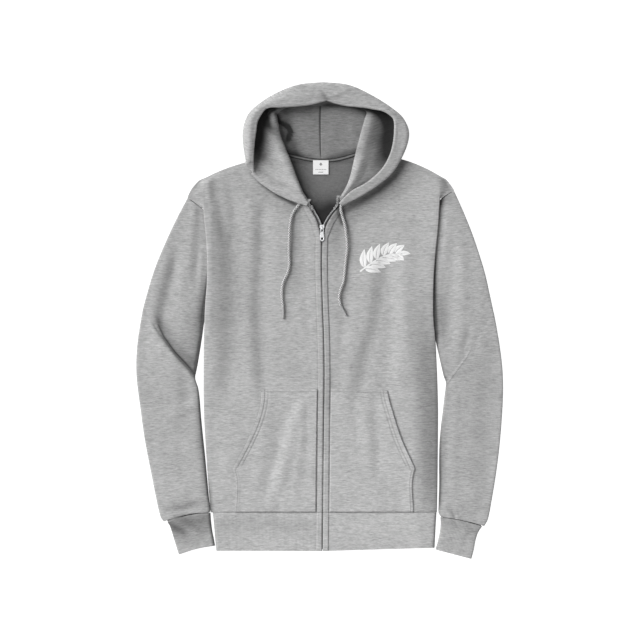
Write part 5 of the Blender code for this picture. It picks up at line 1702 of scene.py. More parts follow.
@dataclass(frozen=True)
class Waistband:
    """The rib waistband: over the top from the zip to one side, under the back, and up to the zip again."""

    right: FrontPanel
    left: FrontPanel
    right_end: BandEnd = BandEnd(-203.6, -196.6, -437.9)
    left_end: BandEnd = BandEnd(222.2, 218.4, -432.4)
    top_y: float = HEM_SEAM_Y - GAP

    def half_grid(self, front: FrontPanel, end: BandEnd) -> Array:
        """One half from the zip to its folded side and round it.

        The upper face is a quiet level that rises beside the folded side, with the zip's strip running on
        through it, and rounds off at the seam and at the hem, where the doubled rib turns over.

        Args:
            front: the front that it is sewn to.
            end: its folded side.

        Returns:
            Points [row, column, xyz] on the wall's middle.
        """
        rows = np.array([0, .006, .014, .03, .05, *np.linspace(0.08, 0.92, 30), .95, .97, .985, .994, 1.0])
        edge_x = end.seam_x + (end.hem_x - end.seam_x) * rows**0.8
        zip_x = front.zip_edge(self.top_y + (ZIP_HEM_Y - self.top_y) * rows)
        inner_x = edge_x - front.sign * SIDE_ROLL
        near = STRIP_COLUMNS / np.abs(inner_x - zip_x)[:, None]
        shares = np.concatenate([near, near[:, -1:] + (1 - near[:, -1:]) * np.linspace(0, 1, 81)[None, 1:]],
                                axis=1)
        x = zip_x[:, None] + (inner_x - zip_x)[:, None] * shares
        y = self.top_y + (ZIP_HEM_Y + (end.hem_y - ZIP_HEM_Y) * shares - self.top_y) * rows[:, None]
        from_zip, from_side = np.abs(x - zip_x[:, None]), np.abs(x - edge_x[:, None])
        top = FRONT_TOP + 2.0 * bell(from_side / 36.0) - 0.6 * (1 - ease(rows / 0.16))[:, None]
        top -= 0.8 * ease((rows[:, None] - 0.84) / 0.16)
        top += WELT_RISE * ease(from_zip / 2.5) * ease((WELT_WIDTH - from_zip) / 2.5)
        top -= 0.35 * bell((from_zip - STITCH_IN) / 1.4)
        top += gathers(x, self.top_y - y, 0.35, 16.0, 2.0 + front.sign) * ease(from_zip / 16.0)
        top += gathers(x * 0.8, y - y[-1:], 0.3, 16.0, 4.0 + front.sign) * ease(from_zip / 16.0)
        upper = np.dstack([x, y, top - RIB / 2])
        angles = np.linspace(0, np.pi, 13)[1:]
        half = (upper[:, -1, 2] - RIB / 2) / 2
        turn = np.stack([inner_x[:, None] + front.sign * (SIDE_ROLL - RIB / 2) * np.sin(angles),
                         y[:, -1:] + 0 * angles,
                         (upper[:, -1, 2] - half)[:, None] + half[:, None] * np.cos(angles)], axis=2)
        return np.concatenate([upper, turn], axis=1)

    def grid(self) -> tuple[Array, Array, Array]:
        """The wall's middle surface: both halves and the stretch under the back.

        Returns:
            Points, weave coordinates and painted shade values.
        """
        right, left = self.half_grid(self.right, self.right_end), self.half_grid(self.left, self.left_end)
        bridge = right[:, -1:] + (left[:, -1:] - right[:, -1:]) * np.linspace(0, 1, 32)[None, 1:-1, None]
        grid = np.concatenate([right, bridge, left[:, ::-1]], axis=1)
        run = np.cumsum(np.linalg.norm(np.diff(grid, axis=1, prepend=grid[:, :1]), axis=2), axis=1)
        painted_shade = shade(grid[..., 0], grid[..., 1], BAND_SHADES)
        for front in (self.right, self.left):
            from_zip = (grid[..., 0] - front.zip_edge(grid[..., 1])) * front.sign
            near_zip = 0.18 * bell((from_zip - 10.8) / 1.6) + 0.4 * bell(from_zip / 1.2)
            painted_shade += np.where(from_zip > -0.1, near_zip, 0.0)
        return grid, np.dstack([run, grid[..., 1]]), np.clip(painted_shade, 0.0, 1.0)

    def build(self, wardrobe: Wardrobe) -> bpy.types.Object:
        """The waistband's rib."""
        grid, uv, painted_shade = self.grid()
        piece = surface("rib_waistband", grid, uv, painted_shade)
        add_wall(piece, RIB)
        dress(piece, Slot.RIB, wardrobe.rib, nodes=("waistband",))
        return piece


# ---------------------------------------------------------------- hood
class HoodRow(NamedTuple):
    """One section of a hood panel, from the front of the neck (v = 0) to the centre seam (v = 1): its front
    edge (rim), its outline, the lowest cloth between outline and roll, the inner edge of the roll over the
    neck, the foot of that roll, and the neck seam."""

    v: float
    rim_x: float
    rim_y: float
    rim_z: float
    out_x: float
    out_y: float
    out_z: float
    low_z: float
    roll_x: float
    roll_y: float
    roll_z: float
    foot_z: float
    seam_x: float
    seam_y: float
    seam_z: float


RIGHT_HOOD = (
    HoodRow(0.00, -23.8, 218.4, 15.8, -22.8, 219.2, 16.2, 16.4, -22.4, 221.6, 15.8, 13.8, -21.8, 223.6, 12.4),
    HoodRow(0.07, -44, 225.4, 16.0, -42.6, 227.8, 16.8, 17.4, -30.0, 236.5, 20.0, 14.6, -34.5, 238.5, 11.6),
    HoodRow(0.15, -64.5, 233.4, 12.2, -62.5, 236.0, 13.6, 15.0, -35.6, 249, 24.5, 14.4, -45.0, 248, 11.2),
    HoodRow(0.26, -96.5, 251.6, 12.4, -94.1, 254.0, 13.2, 13.8, -46.0, 274, 27.5, 14.4, -66, 271, 11.0),
    HoodRow(0.32, -118.6, 269.4, 14.0, -116.8, 271.6, 14.6, 12.8, -51.0, 288, 28.5, 14.0, -75, 285, 10.7),
    HoodRow(0.345, -127.0, 281.0, 16.4, -127.6, 283.2, 15.6, 12.4, -53.6, 294.5, 29.0, 13.8, -79.5, 291,
            10.5),
    HoodRow(0.37, -127.2, 293.0, 21.4, -135.8, 290.0, 19.0, 12.0, -56.0, 301, 29.5, 13.6, -84, 297, 10.4),
    HoodRow(0.45, -127.2, 304, 29.0, -139.4, 304, 22.0, 10.0, -64.0, 320, 29.0, 10.6, -95, 317.4, 6.4),
    HoodRow(0.60, -122.0, 356, 34.0, -144.2, 357, 23.0, 1.2, -76.5, 355, 25.0, 1.4, -61, 314.2, 1.2),
    HoodRow(0.70, -115.6, 383.0, 34.2, -136.2, 385.6, 22.3, 1.2, -81.2, 383, 19.4, 1.3, -46.6, 310.8, 1.2),
    HoodRow(0.74, -106.0, 396.6, 34.0, -130, 395, 22.0, 1.2, -82.0, 391, 17.0, 1.3, -42, 309.8, 1.2),
    HoodRow(0.84, -72, 404.0, 33.0, -87, 426.2, 21.0, 1.2, -56.0, 408, 7.0, 1.2, -25, 306.0, 1.2),
    HoodRow(0.93, -28, 407.8, 32.0, -37, 445.2, 21.0, 1.2, -24.0, 414, 2.6, 1.2, -10, 304.0, 1.2),
    HoodRow(1.00, 13.1, 416.6, 31.0, 7.7, 449.4, 21.0, 1.2, 2.65, 416, 1.9, 1.2, 2.05, 303.2, 1.2),
)
LEFT_HOOD = (
    HoodRow(0.00, 39.0, 219.5, 18.0, 41.0, 217.8, 16.2, 15.0, 39.4, 229.0, 17.4, 14.0, 38.0, 233.5, 12.4),
    HoodRow(0.07, 48.6, 230.4, 21.4, 58.0, 225.6, 18.5, 14.0, 42.6, 237.4, 21.0, 14.0, 48.0, 238, 11.4),
    HoodRow(0.15, 62.0, 242.6, 24.0, 76.0, 234.8, 21.0, 12.4, 48.4, 247, 25.0, 14.4, 58.0, 249, 11.2),
    HoodRow(0.26, 93.5, 260.6, 26.6, 109.0, 255.6, 23.0, 12.2, 57.6, 268, 27.5, 14.4, 76.0, 272, 11.0),
    HoodRow(0.37, 121.6, 287.0, 28.0, 138.6, 282.0, 25.0, 12.0, 64.6, 295, 29.5, 13.6, 92.0, 298, 10.4),
    HoodRow(0.45, 134.4, 310, 29.4, 154.8, 309.0, 26.5, 10.0, 70.6, 320, 29.0, 10.6, 103.0, 318.0, 6.4),
    HoodRow(0.60, 143.8, 357, 32.0, 166.9, 357.0, 28.5, 1.2, 81.4, 361, 25.0, 1.4, 66.0, 314.8, 1.2),
    HoodRow(0.68, 141.4, 379.4, 32.2, 158.8, 378.0, 28.3, 1.2, 87.0, 382, 20.3, 1.3, 52.6, 311.4, 1.2),
    HoodRow(0.74, 127.4, 391.6, 32.4, 148.6, 390.2, 28.0, 1.2, 90.0, 395, 17.0, 1.3, 46.0, 310.0, 1.2),
    HoodRow(0.84, 92.0, 402.6, 32.0, 102.6, 421.4, 26.0, 1.2, 62.0, 408, 7.0, 1.2, 29.0, 306.0, 1.2),
    HoodRow(0.93, 44.0, 408.4, 31.4, 52.4, 444.2, 24.0, 1.2, 28.0, 414, 2.6, 1.2, 13.6, 304.0, 1.2),
    HoodRow(1.00, 13.1, 416.6, 31.0, 7.7, 449.4, 21.0, 1.2, 2.65, 416, 1.9, 1.2, 2.05, 303.2, 1.2),
)
# Creases of the band round the opening, of the roll over the neck, and of the cloth inside.
BAND_CREASES = (
    Fold(((-58, 436), (-22, 430), (10, 423)), 3.6, height=1.6, shade=0.0),
    Fold(((-50, 424), (-14, 418)), 5, height=-1.0), Fold(((-44, 440), (-10, 436)), 7, shade=0.12),
    Fold(((24, 440), (64, 432)), 7, shade=0.08), Fold(((17, 421), (32, 427), (50, 434)), 3.6, height=1.4),
    Fold(((50, 424), (98, 416)), 6, height=-0.8), Fold(((8, 424), (13, 417)), 4.5, shade=0.4),
    Fold(((-96, 410), (-62, 418)), 6, height=-0.8), Fold(((-130, 330), (-134, 380)), 7, height=0.9),
    Fold(((148, 330), (152, 376)), 7, height=-0.8),
    Fold(((124, 397), (150, 379)), 4.5, height=1.5, shade=-0.1),
)
ROLL_CREASES = (
    Fold(((-116, 287), (-95, 272), (-84, 263), (-70, 256)), 6, height=-2.0, drop=-1.0, shade=0.22),
    Fold(((-98, 300), (-84, 284)), 7, height=-1.0, shade=0.06), Fold(((96, 330), (88, 286)), 9, height=-1.0),
)
INNER_CREASES = (
    Fold(((-82, 388), (-78, 378), (-60, 368), (-54, 357), (-58, 349)), 4.6, height=-3.0, drop=1.5,
         shade=0.60),
    Fold(((-62, 318), (-20, 306)), 7, shade=0.30), Fold(((66, 320), (24, 308)), 8, shade=0.35),
    Fold(((-66, 395), (-58, 350), (-46, 320)), 11, shade=0.28),
    Fold(((-106, 390), (-92, 366)), 9, shade=0.55),
    Fold(((94, 401), (120, 392), (138, 376)), 10, shade=0.80),
    Fold(((16, 410), (60, 407), (110, 402)), 6, shade=0.55), Fold(((-56, 402), (-24, 398)), 9, shade=0.16),
    Fold(((-66, 392), (-30, 380)), 9, height=1.4), Fold(((-60, 318), (-30, 324)), 3.5, height=1.1),
    Fold(((18, 310), (42, 318), (66, 322)), 3.5, height=1.3), Fold(((62, 398), (64, 350)), 8, height=1.0),
    Fold(((30, 380), (22, 340)), 10, height=0.7), Fold(((-20, 392), (-16, 340)), 10, height=0.6),
)


@dataclass(frozen=True)
class HoodPanel:
    """One panel of the hood, from its front edge round its outline, over the roll and down to the neck seam.

    `undercut` and `slope` say how far the roll's foot stands back under it or runs out from it, and `step`
    how far the cloth runs on level before it meets the neck seam. Behind the front edge the painted shade is
    darkest from `pit_start` of the way up its sections, where it keeps `pit_share` of the full dark, to
    `pit_end` across them, which it nears over `pit_fade`.
    """

    half: Half
    rows: tuple[HoodRow, ...]
    pit_start: float
    pit_share: float
    pit_end: float
    pit_fade: float
    undercut: float = 2.4
    slope: float = 10.0
    step: float = 5.0
    hem_radius: float = 1.9
    hem_layer: float = 9.0
    columns: int = 10

    def cage(self, stations: Array) -> Array:
        """Eleven control points across each section, from the rim to the neck seam.

        Args:
            stations: places 0 to 1 from the front of the neck to the centre seam.

        Returns:
            Points [station, control point, xyz].
        """
        h = HoodRow(stations, *along(self.rows, stations).T)
        rim = np.stack([h.rim_x, h.rim_y, h.rim_z], 1)
        out = np.stack([h.out_x, h.out_y, h.out_z], 1)
        roll = np.stack([h.roll_x, h.roll_y, h.roll_z], 1)
        seam = np.stack([h.seam_x, h.seam_y, h.seam_z], 1)
        span = roll - out
        span[:, 2] = 0
        wide = np.linalg.norm(span, axis=1, keepdims=True)
        inward = span / wide
        low, top = h.low_z, h.roll_z

        def between(share: float, height: Array) -> Array:
            """A point between outline and roll in plan, at the given height."""
            point = out + span * share
            point[:, 2] = height
            return point

        crown = rim + (out - rim) * 0.5
        crown[:, 2] += (0.5 * (h.rim_z - h.out_z) + 1.0).clip(0) * ease((h.rim_z - h.out_z) / 10.0)
        tuck = out + inward * np.minimum(3.6, wide * 0.08)
        tuck[:, 2] = low + (h.out_z - low) * 0.25
        edge = roll.copy()
        edge[:, 2] = top - np.minimum(4.0, (top - h.foot_z) * 0.3).clip(0)
        steep = ease((top - h.foot_z - 2.0) / 9.0)[:, None]
        slope = self.slope * (0.25 + 0.75 * ease(stations / 0.5))[:, None]
        foot = roll + inward * (slope * (1.0 - steep) - self.undercut * steep)
        foot[:, 2] = h.foot_z
        rest = foot + (seam - foot) * 0.4 + inward * (self.step * ease((stations - 0.45) / 0.1))[:, None]
        rest[:, 2] = h.foot_z + (h.seam_z - h.foot_z) * 0.5
        return np.stack([rim, crown, out, tuck, between(0.3, low + 0.02 * (top - low)),
                         between(0.62, low + 0.5 * (top - low)), between(0.88, top), edge, foot, rest, seam],
                        axis=1)

    @staticmethod
    def through(cage: Array, steps: int) -> Array:
        """Points on a smooth line through each row of control points: Hermite pieces over root-chord lengths.

        Args:
            cage: control points [row, point, xyz].
            steps: points to each stretch between two control points.

        Returns:
            Points [row, column, xyz].
        """
        chords = np.sqrt(np.linalg.norm(np.diff(cage, axis=1), axis=2)).clip(0.3)
        slopes = np.diff(cage, axis=1) / chords[..., None]
        before, after = chords[:, :-1, None], chords[:, 1:, None]
        inner = (slopes[:, :-1] * after + slopes[:, 1:] * before) / (before + after)
        tangents = np.concatenate([slopes[:, :1], inner, slopes[:, -1:]], axis=1)
        found = []
        for k in range(cage.shape[1] - 1):
            t = np.arange(steps)[None, :, None] / steps
            h = chords[:, k, None, None]
            found.append(cage[:, k, None] * (2 * t**3 - 3 * t**2 + 1)
                         + tangents[:, k, None] * h * (t**3 - 2 * t**2 + t)
                         + cage[:, k + 1, None] * (3 * t**2 - 2 * t**3) + tangents[:, k + 1, None] * h
                         * (t**3 - t**2))
        return np.concatenate([*found, cage[:, -1:]], axis=1)

    def front_hem(self, grid: Array, stations: Array) -> Array:
        """Columns before the rim: the cloth turns over its front edge and back down inside.

        The turn is a half circle about an axis a hem radius under the rim, in the plane of the band's
        direction and its normal, followed by a straight inner layer.

        Args:
            grid: the panel's points.
            stations: place of each row.

        Returns:
            Points [row, column, xyz], the inner layer's end first.
        """
        away = unit(grid[:, 0] - grid[:, 3])
        run = unit(np.gradient(grid[:, 0], axis=0))
        normal = unit(np.cross(run, away))
        normal = normal * np.where(normal[:, 2:] < 0, -1.0, 1.0)
        most = np.radians(95 + 85 * ease((stations - 0.2) / 0.25))[:, None]
        angles = most * np.linspace(0, 1, 9)[None, 1:]
        centre = grid[:, :1] - normal[:, None] * self.hem_radius
        around = normal[:, None] * np.cos(angles)[..., None] + away[:, None] * np.sin(angles)[..., None]
        turn = centre + self.hem_radius * around
        layer = self.hem_layer * ease((stations - 0.3) / 0.15)[:, None] * np.linspace(0, 1, 5)[None, 1:]
        inner = turn[:, -1:] - away[:, None] * (layer + 0.02 * np.arange(1, 5))[..., None]
        return np.concatenate([turn, inner], axis=1)[:, ::-1]

    def grid(self) -> tuple[Array, Array, Array]:
        """The wall's middle surface.

        Returns:
            Points, weave coordinates and painted shade values.
        """
        stations = np.concatenate([np.linspace(0, 0.5, 80)[:-1], np.linspace(0.5, 1.0, 92)[:-1],
                                   [0.9998, 1.0]])
        grid = self.through(self.cage(stations), self.columns)
        column = np.broadcast_to(np.arange(grid.shape[1]) / self.columns, grid.shape[:2])
        station = np.broadcast_to(stations[:, None], grid.shape[:2])
        x, y = grid[..., 0], grid[..., 1]
        on_band = ease(column / 0.3) * ease((2.1 - column) / 0.4)
        inside = ease((column - 7.7) / 0.5) * ease((10.0 - column) / 0.3) * ease((station - 0.5) / 0.1)
        on_roll = ease((column - 2.8) / 0.8) * ease((6.6 - column) / 0.8)
        grid[..., 2] += (relief(x, y, BAND_CREASES) * on_band + relief(x, y, ROLL_CREASES) * on_roll
                         + relief(x, y, INNER_CREASES) * inside)
        grid[..., 2] += 0.9 * inside * ease((1.0 - station) / 0.02)
        grid[..., 2] = np.maximum(grid[..., 2], CLOTH / 2)
        hem = self.front_hem(grid, stations)
        painted_shade = self.painted_shade(x, y, column, station) + shade(x, y, ROLL_CREASES) * on_roll
        # Painted shade: a dark line along the centre seam inside, and 0.45 on the hem's turned-in layer.
        painted_shade += 0.8 * bell((1.0 - station) / 0.006) * inside
        painted_shade = np.concatenate([np.full(hem.shape[:2], 0.45), np.clip(painted_shade, 0, 1)], axis=1)
        painted_shade[:, 5:hem.shape[1] + 1] = 0.0
        grid = np.concatenate([hem, grid], axis=1)
        uv = np.dstack([grid[..., 0] + 0.5 * grid[..., 2], grid[..., 1] + 0.6 * grid[..., 2]])
        return grid, uv, painted_shade

    def painted_shade(self, x: Array, y: Array, column: Array, station: Array) -> Array:
        """Painted shade in the pit behind the front edge, on the roll, on the cloth inside, and in their
        creases.

        Args:
            x: places in plan.
            y: places in plan.
            column: place across the section, counted in control points.
            station: place along the panel, 0 to 1.

        Returns:
            A value for each point, 0 or more.
        """
        behind = ease((column - 2.3) / 0.5)
        pit = behind * ease((self.pit_end - column) / self.pit_fade)
        pit = pit * ease((station - self.pit_start) / (0.46 - self.pit_start))
        pit = pit * (self.pit_share + (1.0 - self.pit_share) * ease((y - 325.0) / 30.0))
        roll = 0.30 * behind * ease((7.6 - column) / 1.4) * ease((station - 0.40) / 0.16)
        inner = 0.48 * ease((column - 7.0) / 0.8) * ease((station - 0.42) / 0.1)
        inner = inner * (1.0 - 0.4 * ease((y - 374.0) / 24.0) * bell((x - 8.0) / 80.0))
        creases = shade(x, y, INNER_CREASES) * (column > 3.0) + shade(x, y, BAND_CREASES) * (column < 2.3)
        return pit + roll + inner + creases

    def build(self, wardrobe: Wardrobe) -> bpy.types.Object:
        """The panel's cloth."""
        grid, uv, painted_shade = self.grid()
        piece = surface(f"hood_panel_{self.half.word}", grid, uv, painted_shade, flip=self.half is Half.LEFT)
        add_wall(piece, CLOTH)
        dress(piece, Slot.FLEECE, wardrobe.hood, nodes=(f"hood_{self.half.word}",))
        return piece


HOOD_PANELS = (
    HoodPanel(Half.RIGHT, RIGHT_HOOD, pit_start=0.30, pit_share=0.78, pit_end=6.0, pit_fade=2.1),
    HoodPanel(Half.LEFT, LEFT_HOOD, pit_start=0.28, pit_share=1.0, pit_end=5.8, pit_fade=1.8),
)


# ---------------------------------------------------------------- zip
# Middle lines of the tapes' frayed ends, right and left, from the zip's top to the tip.
TAPE_ENDS = (
    ((-12.6, 209, 8.6), (-16.8, 214.5, 10.4), (-20.0, 219.5, 14.0), (-21.0, 224.0, 18.4),
     (-19.4, 227.6, 20.6), (-16.8, 227.0, 20.4)),
    ((27.0, 211, 8.6), (31.6, 217, 11.0), (33.8, 223, 15.4), (33.2, 229, 20.0), (35.4, 234.6, 23.0),
     (38.4, 234.0, 22.8)),
)
# Outlines in plan, anticlockwise, round each shape's own middle.
TOOTH = np.array([(-1.25, -0.36), (-0.95, -0.62), (1.0, -0.62), (1.45, -0.3), (1.45, 0.3), (1.0, 0.62),
                  (-0.95, 0.62), (-1.25, 0.36)])
STOP = np.array([(-1.5, -2.2), (1.5, -2.2), (1.9, 0), (1.5, 2.4), (-1.5, 2.4), (-1.9, 0)])
SLIDER_PLATE = [(-2.7, -8), (2.7, -8), (3.1, -2), (4.4, 3), (4.2, 6.6), (1.6, 8), (0, 6.8), (-1.6, 8),
                (-4.2, 6.6), (-4.4, 3), (-3.1, -2)]
SLIDER_SLOT = [(-1.7, -1.6), (1.7, -1.6), (1.7, -6.4), (-1.7, -6.4)]
SLIDER_WEDGE = [(-0.9, -1), (0.9, -1), (1.5, 4.5), (0, 6.2), (-1.5, 4.5)]
BRIDGE_SECTION = np.array([(-0.9, -0.42), (-0.7, -0.6), (0.7, -0.6), (0.9, -0.42), (0.9, 0.42), (0.7, 0.6),
                           (-0.7, 0.6), (-0.9, 0.42)])
# A tooth's rings: height as a share of half the tooth's, and share of the outline. A stop's: height, share.
TOOTH_RINGS = np.array([(-1.0, 0.8), (-0.72, 1.0), (0.72, 1.0), (1.0, 0.8)])
STOP_RINGS = ((5.0, 0.85), (5.3, 1.0), (7.3, 1.0), (7.7, 0.82))


@dataclass(frozen=True)
class ZipFastener:
    """The zip: two tapes, their teeth, the slider and its pull tab.

    The tapes part at `parting_y`, stand `open_rise` higher above it, and reach `under_front` below the
    fronts' edges. `half_tooth` is half a tooth's height, and `leg_x` and `arch_height` are half the width and
    the rise of the slider's bridge.
    """

    right: FrontPanel
    left: FrontPanel
    parting_y: float = 160.0
    open_rise: float = 2.9
    under_front: float = 8.5
    tooth_pitch: float = 2.1
    half_tooth: float = 1.05
    stop_y: float = 216.0
    leg_x: float = 3.3
    arch_height: float = 2.15

    @property
    def fronts(self) -> tuple[FrontPanel, FrontPanel]:
        """The two fronts that it is sewn to."""
        return self.right, self.left

    def inner_edge(self, front: FrontPanel, y: Array) -> Array:
        """x of a tape's inner edge: on the zip's line while closed, swinging out past the front's above."""
        opened = ease((y - self.parting_y) / 22.0)
        inner = front.zip_edge(y) - front.sign * (0.45 + 5.4 * opened)
        return np.where(y < self.parting_y, along(ZIP_LINE, np.minimum(y, ZIP_TOP)) + front.sign * 0.3, inner)

    def rise(self, y: Array) -> Array:
        """How far the tapes' inner edges stand above the closed zip."""
        return self.open_rise * ease((y - self.parting_y) / 16.0)

    def build_tapes(self, wardrobe: Wardrobe) -> None:
        """The woven tapes, flat under the fronts' edges, their inner edges raised where the zip is open."""
        for front in self.fronts:
            y = np.concatenate([np.arange(-436.0, 150.0, 8.0), np.arange(150.0, 219.1, 1.5)])
            inner, outer = self.inner_edge(front, y), front.zip_edge(y) + front.sign * self.under_front
            shares = np.array([0.0, 0.05, 0.12, 0.25, 0.5, 1.0])
            x = inner[:, None] + (outer - inner)[:, None] * shares[None]
            lift = self.rise(y)[:, None] * (1.0 - shares / 0.36).clip(0.0)[None]
            grid = np.dstack([x, y[:, None] + 0 * x, TAPE_MID + lift])
            piece = surface(f"tape_{front.body.half.word}", grid, grid[..., :2], flip=front.sign < 0)
            add_wall(piece, TAPE_THICK)
            dress(piece, Slot.TAPE, wardrobe.tape, nodes=(f"zip_tape_{front.body.half.word}",))
            f"tape_end_{front.body.half.word}"

    def build_teeth(self, wardrobe: Wardrobe) -> None:
        """The teeth: small rounded blocks across each tape's edge, in turn from right and left where it is
        closed.

        A tooth's footprint is a rectangle with cut corners, turned square to the tape's edge, in a stack of
        four rings whose first and last are drawn in, so that its edges are rounded.
        """
        for front in self.fronts:
            fine = np.arange(-434.0, 215.0, 0.5)
            line = np.column_stack([self.inner_edge(front, fine), fine])
            run = reach(line)
            at = np.arange(self.tooth_pitch * (0.5 + 0.25 * front.sign), run[-1], self.tooth_pitch)
            middle = np.stack([np.interp(at, run, line[:, c]) for c in range(2)], axis=1)
            nearby = np.stack([np.interp(at + 0.5, run, line[:, c]) for c in range(2)], axis=1)
            ahead = unit(nearby - middle)
            across = np.stack([ahead[:, 1], -ahead[:, 0]], axis=1) * -front.sign
            ring = TOOTH[None, None] * TOOTH_RINGS[None, :, 1, None, None]
            plan = (middle[:, None, None] + across[:, None, None] * ring[..., :1]
                    + ahead[:, None, None] * ring[..., 1:])
            level = TAPE_MID + 0.05 + self.rise(middle[:, 1])
            z = level[:, None, None, None] + (TOOTH_RINGS[:, 0] * self.half_tooth)[None, :, None, None]
            rings = np.concatenate([plan, np.broadcast_to(z, (*plan.shape[:3], 1))], axis=-1)
            rings = rings if front.sign < 0 else rings[:, :, ::-1]
            opened = middle[:, 1] > 168.0
            # The closed teeth, deep in the gap between the fronts, get the dark copy of the metal: painted
            # shade.
            for word, chosen, finish in (("closed_teeth", ~opened, wardrobe.shaded_teeth),
                                         ("open_teeth", opened, wardrobe.teeth)):
                piece = rods(f"{word}_{front.body.half.word}", rings[chosen], smooth=False)
                dress(piece, Slot.METAL, finish)

    def build_stops(self, wardrobe: Wardrobe) -> None:
        """The two stops clamped to the tapes above the last teeth."""
        stops = []
        for front in self.fronts:
            middle = np.array([float(self.inner_edge(front, np.array(self.stop_y))), self.stop_y])
            stops.append([np.column_stack([middle + STOP * share, np.full(len(STOP), z)])
                          for z, share in STOP_RINGS])
        dress(rods("zip_top_stops", np.array(stops)), Slot.METAL, wardrobe.teeth)

    def build_tape_ends(self, wardrobe: Wardrobe) -> None:
        """The tapes' ends: each a narrow strip that leaves the zip's top, stands up and curls at its tip."""
        for front, route in zip(self.fronts, TAPE_ENDS):
            share = np.linspace(0, 1, 60)
            line = path(route, share)
            ahead = unit(np.gradient(line, axis=0))
            aside = unit(np.cross(ahead, [0.0, 0.0, 1.0]) + 1e-6)
            wide = 1.8 + 0.35 * np.sin(share * 47.0) + 0.3 * np.sin(share * 29.0 + 1.0)
            across = np.linspace(-1, 1, 9)
            curl = np.array([0.0, 0.0, 1.0]) * (0.9 * across**2)[None, :, None]
            grid = line[:, None] + aside[:, None] * (wide[:, None] * across[None])[..., None] + curl
            piece = surface(f"tape_end_{front.body.half.word}", grid, grid[..., :2])
            add_wall(piece, 0.8)
            dress(piece, Slot.TAPE, wardrobe.fray)

    @staticmethod
    def plate(name: str, loops: list[list[tuple[float, float]]], thickness: float, rounding: float,
              level: float) -> bpy.types.Object:
        """A flat casting at the slider: outlines extruded to its thickness with rounded edges.

        Args:
            name: the piece's name.
            loops: outlines in millimetres, the inner ones holes.
            thickness: its thickness.
            rounding: radius of its edges.
            level: height of its middle.

        Returns:
            The object, a mesh at the origin.
        """
        curve = bpy.data.curves.new(name, "CURVE")
        curve.dimensions = "2D"
        curve.fill_mode = "BOTH"
        curve.extrude = (thickness / 2 - rounding) * MM
        curve.bevel_depth = rounding * MM
        curve.bevel_resolution = 2
        curve.offset = -rounding * MM
        for loop in loops:
            spline = curve.splines.new("POLY")
            spline.points.add(len(loop) - 1)
            spline.points.foreach_set("co", [v for x, y in loop for v in (x * MM, y * MM, 0.0, 1.0)])
            spline.use_cyclic_u = True
        shape = show(name, curve)
        bpy.context.view_layer.update()
        mesh = bpy.data.meshes.new_from_object(shape.evaluated_get(bpy.context.evaluated_depsgraph_get()))
        bpy.data.objects.remove(shape)
        mesh.transform(Matrix.Translation((SLIDER[0] * MM, SLIDER[1] * MM, level * MM)))
        mesh.shade_smooth()
        mesh.set_sharp_from_angle(angle=math.radians(50))
        return show(name, mesh)

    def build_slider(self, wardrobe: Wardrobe) -> None:
        """The slider's plates, the wedge between them, its bridge, and the pull tab that hangs on it."""
        top = self.plate("slider_top", [SLIDER_PLATE, SLIDER_SLOT], 1.7, 0.35, 7.85)
        dress(top, Slot.METAL, wardrobe.metal, nodes=("zip_slider",))
        # The wedge and the lower plate are near-black: painted shade for the slider's inside, seen through the
        # slot.
        dress(self.plate("slider_core", [SLIDER_WEDGE], 2.0, 0.1, 6.0), Slot.METAL, wardrobe.slider_inside_shade)
        dress(self.plate("slider_bottom", [SLIDER_PLATE], 1.2, 0.35, 5.0), Slot.METAL, wardrobe.slider_inside_shade)
        self.build_bridge(wardrobe)
        end = [(PULL_HALF * math.cos(a), PULL_HALF - PULL_LENGTH + PULL_HALF * math.sin(a))
               for a in np.linspace(math.pi, 2 * math.pi, 21)]
        shape = [(2.9, 0.65), (-2.9, 0.65), (-2.9, -6), *end, (2.9, -6)]
        window = [(1.7, -0.65), (1.7, -5.9), (-1.7, -5.9), (-1.7, -0.65)]
        eye = [(2.15 * math.cos(a), -19.2 + 2.3 * math.sin(a)) for a in np.linspace(0, -2 * math.pi, 25)[:-1]]
        pull = self.plate("pull_tab_plate", [shape, window, eye], PULL_THICK, 0.3, PIVOT_Z)
        dress(pull, Slot.METAL, wardrobe.metal, nodes=("zip_pull",), body="pull_tab")

    def build_bridge(self, wardrobe: Wardrobe) -> None:
        """The pull tab's bridge: a bar carried up one leg, over a half ellipse and down the other."""
        x, y = SLIDER
        rise = PIVOT_Z - 0.5
        angles = np.linspace(0, np.pi, 21)
        leg = np.array([(self.leg_x, 8.2 - rise), (self.leg_x, 8.9 - rise)])
        arch = np.column_stack([self.leg_x * np.cos(angles), self.arch_height * np.sin(angles)])
        line = np.concatenate([leg, arch, leg[::-1] * [-1, 1]])
        ahead = unit(np.gradient(line, axis=0))
        normal = np.stack([ahead[:, 1], -ahead[:, 0]], axis=1)
        rings = np.stack([
            np.broadcast_to(x + BRIDGE_SECTION[:, 0], (len(line), 8)),
            y + line[:, :1] + normal[:, :1] * BRIDGE_SECTION[None, :, 1],
            rise + line[:, 1:] + normal[:, 1:] * BRIDGE_SECTION[None, :, 1],
        ], axis=-1)
        dress(rods("slider_bridge", rings[None]), Slot.METAL, wardrobe.metal)


# ---------------------------------------------------------------- drawcord
CORD_ROUTES = {
    Half.RIGHT: ((-38, 221), (-45, 212), (-51.6, 202), (-55.7, 184.3), (-57.6, 157), (-58.4, 130),
                 (-57.8, 104), (-61.5, 88), (-68.2, 75), (-71.6, 57), (-71, 39), (-69, 20.5), (-69.6, 2.3)),
    Half.LEFT: ((41.4, 220), (40.2, 212), (42.8, 199), (47.2, 184.3), (50.4, 164), (52.6, 139), (50.2, 117),
                (47.8, 94), (45.6, 74), (40.4, 59), (37.2, 46), (39, 31.5), (45, 18.8), (50.6, 8.7)),
}


